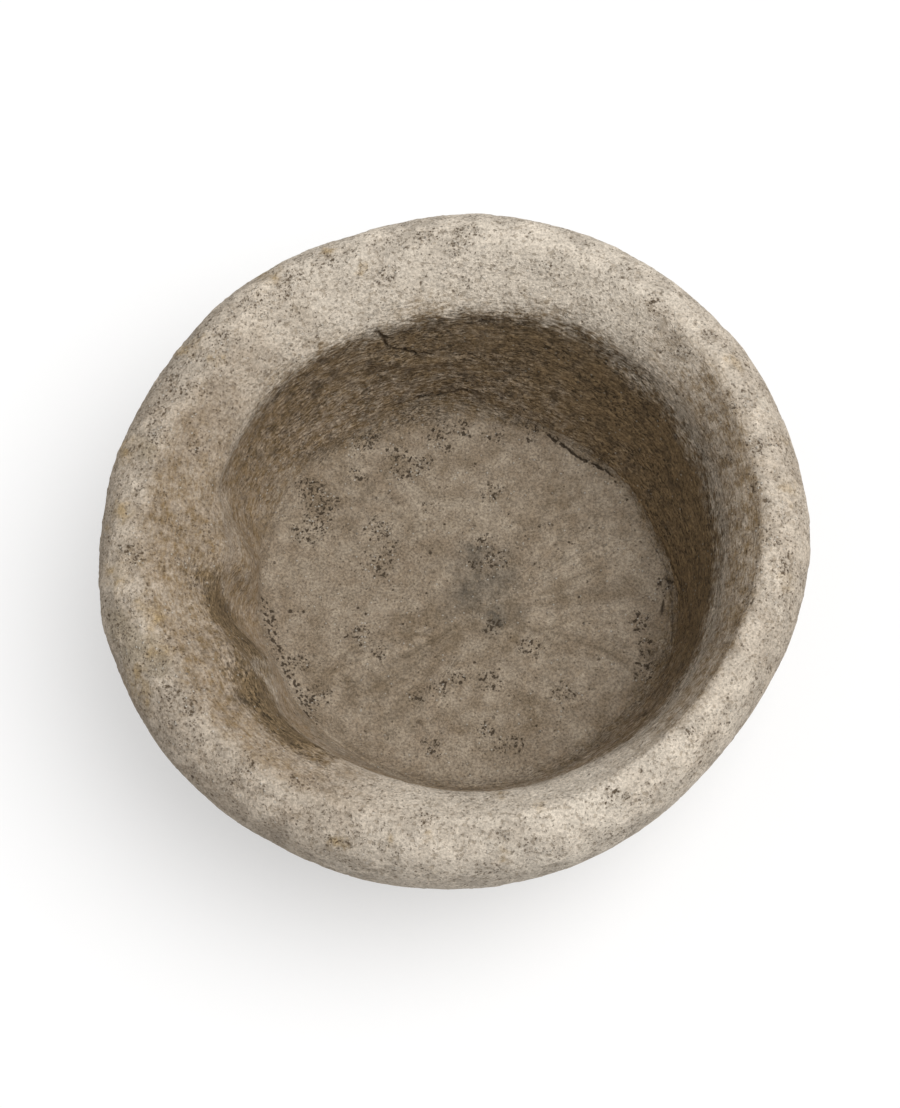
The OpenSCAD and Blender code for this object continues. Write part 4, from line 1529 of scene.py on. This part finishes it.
# %% Soil and painted shade group
SOIL_SPOTS = ((120.0, 0.5, 0.14), (80.0, 0.58, 0.07))  # spots per metre, level and softness: blotches, dark spots
BREAK_UP = 2.6
soil_and_shade_group, given, result = new_group(
    "Soil", {"Position": None, "Colour": GREY, "Amount": 0.5, "Stroke Tone": 0.5}, ["Colour"])
blotches, dark_spots = [place_group(
    soil_and_shade_group, spots_group, Position=given["Position"], Spots_per_Metre=per_metre, Detail=4.0, Level=level,
    Softness=softness) for per_metre, level, softness in SOIL_SPOTS]
rough = maths(soil_and_shade_group, "MULTIPLY_ADD", maths(soil_and_shade_group, "SUBTRACT", 0.5, given["Stroke Tone"]), 1.2, maths(
    soil_and_shade_group, "SUBTRACT", blotches["Mask"], 0.5))
unsure = maths(soil_and_shade_group, "MULTIPLY", given["Amount"], maths(soil_and_shade_group, "SUBTRACT", 1.0, given["Amount"]))
dirty = maths(
    soil_and_shade_group, "MULTIPLY_ADD", maths(soil_and_shade_group, "MULTIPLY", unsure, rough), BREAK_UP, given["Amount"], clamp=True)
colour = blend(soil_and_shade_group, maths(soil_and_shade_group, "MULTIPLY", dirty, 0.95), given["Colour"], SOILED_AND_SHADED_STONE)
dark_share = maths(
    soil_and_shade_group, "MULTIPLY", dark_spots["Mask"], stretch(soil_and_shade_group, given["Amount"], 0.3, 0.8, 0.0, 0.5))
put(soil_and_shade_group, result["Colour"], blend(soil_and_shade_group, dark_share, colour, DEEP_DIRT))
print("group:", soil_and_shade_group.name)

# %% [markdown]
# The fine parts come last in both materials: freckles, tiny pin holes, the tone of the sand grain, single
# grains and the dirt in the holes. The tone also follows the mesh's own relief: it is darker in low places and
# paler on high ones. Rough Ground makes all of them denser, Pits says how many tiny holes there are
# elsewhere, and Dirt is the colour that lies in them.

# %% Fine parts group
TINY_HOLES = ((430.0, 1.0, 1.0), (260.0, 0.45, 0.3))  # holes per metre, share on rough ground, share of the pits
LOW_TONE, HIGH_TONE = 0.74, 1.24
fine_group, given, result = new_group("FineParts", {
    "Position": None, "Colour": GREY, "Grain Tone": 0.5, "Pale Grains": 0.0, "Dark Grains": 0.0,
    "Rough Ground": 0.0, "Contrast": 0.8, "Pits": 0.06, "Freckles": 0.5, "Relief": 0.5, "Hole": 0.0,
    "Hole Dirt": 0.9, "Dirt": DEEP_DIRT}, ["Colour", "Height"])
rough_here = given["Rough Ground"]
freckles = place_group(
    fine_group, spots_group, Position=given["Position"], Spots_per_Metre=300.0, Detail=2.0, Softness=0.04,
    Level=maths(fine_group, "MULTIPLY_ADD", rough_here, -0.04, 0.60))
colour = blend(fine_group, maths(
    fine_group, "MULTIPLY", freckles["Mask"], given["Freckles"]), given["Colour"], FRECKLE)
tiny_holes = []
for per_metre, on_rough, of_pits in TINY_HOLES:
    share = maths(fine_group, "MULTIPLY", given["Pits"], of_pits)
    share = maths(fine_group, "MULTIPLY_ADD", rough_here, on_rough, share)
    tiny_holes.append(place_group(
        fine_group, pin_hole_group, Position=given["Position"], Holes_per_Metre=per_metre, Share=share)["Mask"])
tone = maths(fine_group, "SUBTRACT", given["Grain Tone"], 0.5)
tone = maths(fine_group, "MULTIPLY_ADD", tone, given["Contrast"], 1.0)
tone = maths(fine_group, "MULTIPLY", tone, stretch(fine_group, given["Relief"], 0.05, 0.95, LOW_TONE, HIGH_TONE))
colour = darkened(fine_group, colour, tone)
white = maths(fine_group, "MULTIPLY_ADD", rough_here, 0.12, 0.33)
colour = blend(fine_group, maths(fine_group, "MULTIPLY", given["Pale Grains"], white), colour, WHITE_GRIT)
colour = blend(fine_group, maths(fine_group, "MULTIPLY", given["Dark Grains"], 0.6), colour, DEEP_DIRT)
tiny = maths(fine_group, "MAXIMUM", *tiny_holes)
in_tiny = maths(fine_group, "MULTIPLY", tiny, maths(fine_group, "MULTIPLY_ADD", rough_here, 0.3, 0.6))
in_hole = stretch(fine_group, given["Hole"], 0.2, 0.85, 0.0, given["Hole Dirt"])
in_hole = maths(fine_group, "MAXIMUM", in_tiny, in_hole)
put(fine_group, result["Colour"], blend(fine_group, in_hole, colour, given["Dirt"]))
put(fine_group, result["Height"], maths(
    fine_group, "MULTIPLY_ADD", freckles["Mask"], -0.3, maths(fine_group, "MULTIPLY", tiny, -0.5)))
print("group:", fine_group.name)

# %% [markdown]
# A material starts with a Principled shader that is dry and dull, since neither stone nor mortar shines. The
# height goes through a Bump node whose distance is a millimetre, so heights are written in millimetres.

# %% Start and finish of a stone material
DULL = 0.2
ROUGH_LOW_TONE, ROUGH_HIGH_TONE = 0.98, 0.85


def attribute(tree, name, vector=False):
    """A number or vector that the mesh carries."""
    node = add(tree, "Attribute", attribute_name=name)
    return node.outputs["Vector" if vector else "Fac"]


def start_material(name):
    """An empty material with a dull Principled shader, and the position in metres."""
    material = bpy.data.materials.new(name)
    material.use_nodes = True
    tree = material.node_tree
    tree.nodes.clear()
    shader = add(tree, "BsdfPrincipled")
    shader.inputs["Specular IOR Level"].default_value = DULL
    out = add(tree, "OutputMaterial")
    tree.links.new(shader.outputs[0], out.inputs["Surface"])
    return material, tree, shader, add(tree, "TexCoord").outputs["Object"]


def finish_material(tree, shader, colour, grain, heights):
    """Feeds the shader. The heights are pairs of a height and how many millimetres it stands for."""
    height = 0.0
    for part, millimetres in heights:
        height = maths(tree, "MULTIPLY_ADD", part, millimetres, height)
    put(tree, shader.inputs["Base Color"], colour)
    put(tree, shader.inputs["Roughness"], stretch(
        tree, grain["Tone"], 0.0, 1.0, ROUGH_LOW_TONE, ROUGH_HIGH_TONE))
    bump = add(tree, "Bump")
    bump.inputs["Strength"].default_value = 1
    bump.inputs["Distance"].default_value = MM
    put(tree, bump.inputs["Height"], height)
    put(tree, shader.inputs["Normal"], bump.outputs[0])


print("materials start dull")

# %% [markdown]
# The bowl's stone is pale and warm grey where rain and hands have kept it clean, on the top of the rim. It
# is browner on the left of the rim, and dark brown in the hollow, where soil has stained it and painted shade
# darkens it further. The attributes of the mesh say where. First come the colours of the clean and the worn stone.

# %% Laid stone: clean and worn colours
laid_stone, tree, shader, position = start_material("LaidStone")
bare_here, clusters_here = attribute(tree, "bare"), attribute(tree, "clusters")
grey_here = attribute(tree, "grey")
single_grains = maths(tree, "MULTIPLY_ADD", maths(tree, "MAXIMUM", clusters_here, grey_here), 0.12, 0.04)
grain = place_group(
    tree, sand_grain, Position=position, Grains_per_Metre=500.0, Single_Grains=single_grains)
broad = place_group(
    tree, spots_group, Position=position, Spots_per_Metre=14.0, Detail=5.0, Level=0.5, Softness=0.14)
mottle = place_group(
    tree, spots_group, Position=position, Spots_per_Metre=75.0, Detail=5.0, Level=0.52, Softness=0.13)
worn = maths(tree, "MULTIPLY_ADD", broad["Mask"], 0.14, maths(tree, "SUBTRACT", attribute(tree, "worn"), 0.06))
worn = maths(tree, "MULTIPLY_ADD", maths(tree, "SUBTRACT", mottle["Mask"], 0.5), 0.16, worn)
worn = maths(tree, "MULTIPLY_ADD", maths(tree, "MAXIMUM", bare_here, clusters_here), 0.12, worn, clamp=True)
colour = blend(tree, worn, PALE_STONE, WORN_STONE)
ochre_here = maths(tree, "MULTIPLY", attribute(tree, "ochre"), stretch(tree, mottle["Mask"], 0.0, 1.0, 0.2, 0.85))
colour = blend(tree, ochre_here, colour, OCHRE)
colour = blend(tree, maths(tree, "MULTIPLY", grey_here, 0.7), colour, GREY_GRIT)
print("clean and worn stone has", len(tree.nodes), "nodes")

# %% [markdown]
# Mortar, and soil with the painted shade of the hollow, come next. Both lie over the stone, and the brush strokes
# go through them: they show as streaks of light and dark with painted highlights on their ridges, strongly in the
# hollow and faintly on the slope above it.

# %% Laid stone: mortar, soil, painted shade and strokes
BRUSH = {"Strokes_per_Metre": 170.0, "Narrowness": 3.0}  # both materials have the same brush strokes
streaks = place_group(tree, stroke_group, Along=attribute(tree, "lay", True), **BRUSH)
soil = attribute(tree, "soil_and_shade")
mortar = place_group(tree, mortar_group, Position=position)
colour = blend(tree, attribute(tree, "smeared"), colour, mortar["Colour"])
colour = place_group(
    tree, soil_and_shade_group, Position=position, Colour=colour, Amount=soil, Stroke_Tone=streaks["Tone"])["Colour"]
in_wall_here = maths(tree, "MULTIPLY", attribute(tree, "wall"), maths(tree, "MULTIPLY_ADD", soil, 0.35, 0.65))
on_slope_here = maths(tree, "MULTIPLY_ADD", attribute(tree, "slope"), 0.17, 0.02)
stroke_share = maths(tree, "ADD", in_wall_here, on_slope_here, clamp=True)
colour = with_strokes(tree, colour, streaks, stroke_share)
print("with soil it has", len(tree.nodes), "nodes")

# %% [markdown]
# Last come the fine parts and the bump. Soil and painted shade cover the freckles. The holes of the rim are
# brown inside rather than black, since dust and soil fill them.

# %% Laid stone: fine parts
rough_ground = maths(
    tree, "MULTIPLY_ADD", maths(tree, "MAXIMUM", bare_here, grey_here), 0.42, clusters_here, clamp=True)
fine_parts = place_group(
    tree, fine_group, Position=position, Colour=colour, Grain_Tone=grain["Tone"], Pale_Grains=grain["Pale Grains"],
    Dark_Grains=grain["Dark Grains"], Rough_Ground=rough_ground, Relief=attribute(tree, "relief"),
    Freckles=maths(tree, "MULTIPLY_ADD", soil, -0.35, 0.46), Hole=attribute(tree, "hole"), Hole_Dirt=0.82,
    Contrast=0.52, Pits=0.13, Dirt=BROWN_DIRT)
finish_material(tree, shader, fine_parts["Colour"], grain, [
    (grain["Height"], 1.0), (fine_parts["Height"], 1.0),
    (maths(tree, "MULTIPLY", streaks["Height"], stroke_share), 3.0),
])
bowl.data.materials.append(laid_stone)
print("laid stone has", len(tree.nodes), "nodes")

# %% [markdown]
# The mortar of the floor is smoothed by the trowel and stained by soil. The furrows of the fan are a little
# darker and browner than its ribs, and one spot is smudged dark grey.

# %% Floor mortar: stains
floor_mortar, tree, shader, position = start_material("FloorMortar")
clusters_here, soil = attribute(tree, "clusters"), attribute(tree, "soil_and_shade")
single_grains = maths(tree, "MULTIPLY_ADD", clusters_here, 0.08, 0.04)
grain = place_group(
    tree, sand_grain, Position=position, Grains_per_Metre=540.0, Single_Grains=single_grains)
mortar = place_group(tree, mortar_group, Position=position)
colour, uneven = mortar["Colour"], mortar["Unevenness"]
colour = blend(tree, maths(tree, "MULTIPLY", attribute(tree, "paler"), 0.4), colour, MORTAR_PALE)
brown_here = maths(tree, "MULTIPLY", attribute(tree, "brown"), stretch(tree, uneven, 0.2, 0.8, 0.75, 0.25))
colour = blend(tree, brown_here, colour, MORTAR_BROWN)
colour = blend(tree, stretch(tree, attribute(tree, "ribs"), 0.03, -0.3, 0.0, 0.55), colour, MORTAR_BROWN)
smudged = maths(tree, "MULTIPLY", attribute(tree, "smudge"), stretch(tree, uneven, 0.1, 0.9, 0.85, 0.5))
colour = blend(tree, smudged, colour, SMUDGE)
print("stained mortar has", len(tree.nodes), "nodes")

# %% [markdown]
# Along the wall the strip that was only brushed has the wall's own soil, painted shade and strokes. Two sets of
# strokes go over the colour: the wall's and the finer ones that spread from where the trowel started.

# %% Floor mortar: soil and painted shade, strokes and fine parts
streaks = place_group(tree, stroke_group, Along=attribute(tree, "lay", True), **BRUSH)
colour = place_group(
    tree, soil_and_shade_group, Position=position, Colour=colour, Amount=soil, Stroke_Tone=streaks["Tone"])["Colour"]
wall_share = maths(tree, "MULTIPLY", attribute(tree, "wall"), 0.8)
colour = with_strokes(tree, colour, streaks, wall_share)
strokes_out = place_group(
    tree, stroke_group, Along=attribute(tree, "fan", True), Strokes_per_Metre=160.0, Narrowness=0.35)
rib_share = maths(tree, "MULTIPLY_ADD", attribute(tree, "fanned"), 0.3, 0.03)
colour = with_strokes(tree, colour, strokes_out, rib_share)
fine_parts = place_group(
    tree, fine_group, Position=position, Colour=colour, Grain_Tone=grain["Tone"], Pale_Grains=grain["Pale Grains"],
    Dark_Grains=grain["Dark Grains"], Rough_Ground=clusters_here, Relief=attribute(tree, "relief"),
    Freckles=maths(tree, "MULTIPLY_ADD", soil, -0.25, 0.35), Hole=attribute(tree, "hole"), Hole_Dirt=0.92,
    Contrast=0.66, Pits=0.08)
finish_material(tree, shader, fine_parts["Colour"], grain, [
    (grain["Height"], 1.2), (fine_parts["Height"], 1.0),
    (maths(tree, "MULTIPLY", streaks["Height"], wall_share), 3.2),
    (maths(tree, "MULTIPLY", strokes_out["Height"], rib_share), 1.2),
])
mortar_bed.data.materials.append(floor_mortar)
print("floor mortar has", len(tree.nodes), "nodes")

# %% [markdown]
# Last, each piece stands in for its CAD solid and rides on the one body that the part has.

# %% Join the pieces to the frame
for piece, node, finish in ((bowl, "bowl_body", "laid_stone"), (mortar_bed, "floor_bed", "floor_mortar")):
    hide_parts(node)
    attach(piece, "root")

bpy.context.view_layer.update()
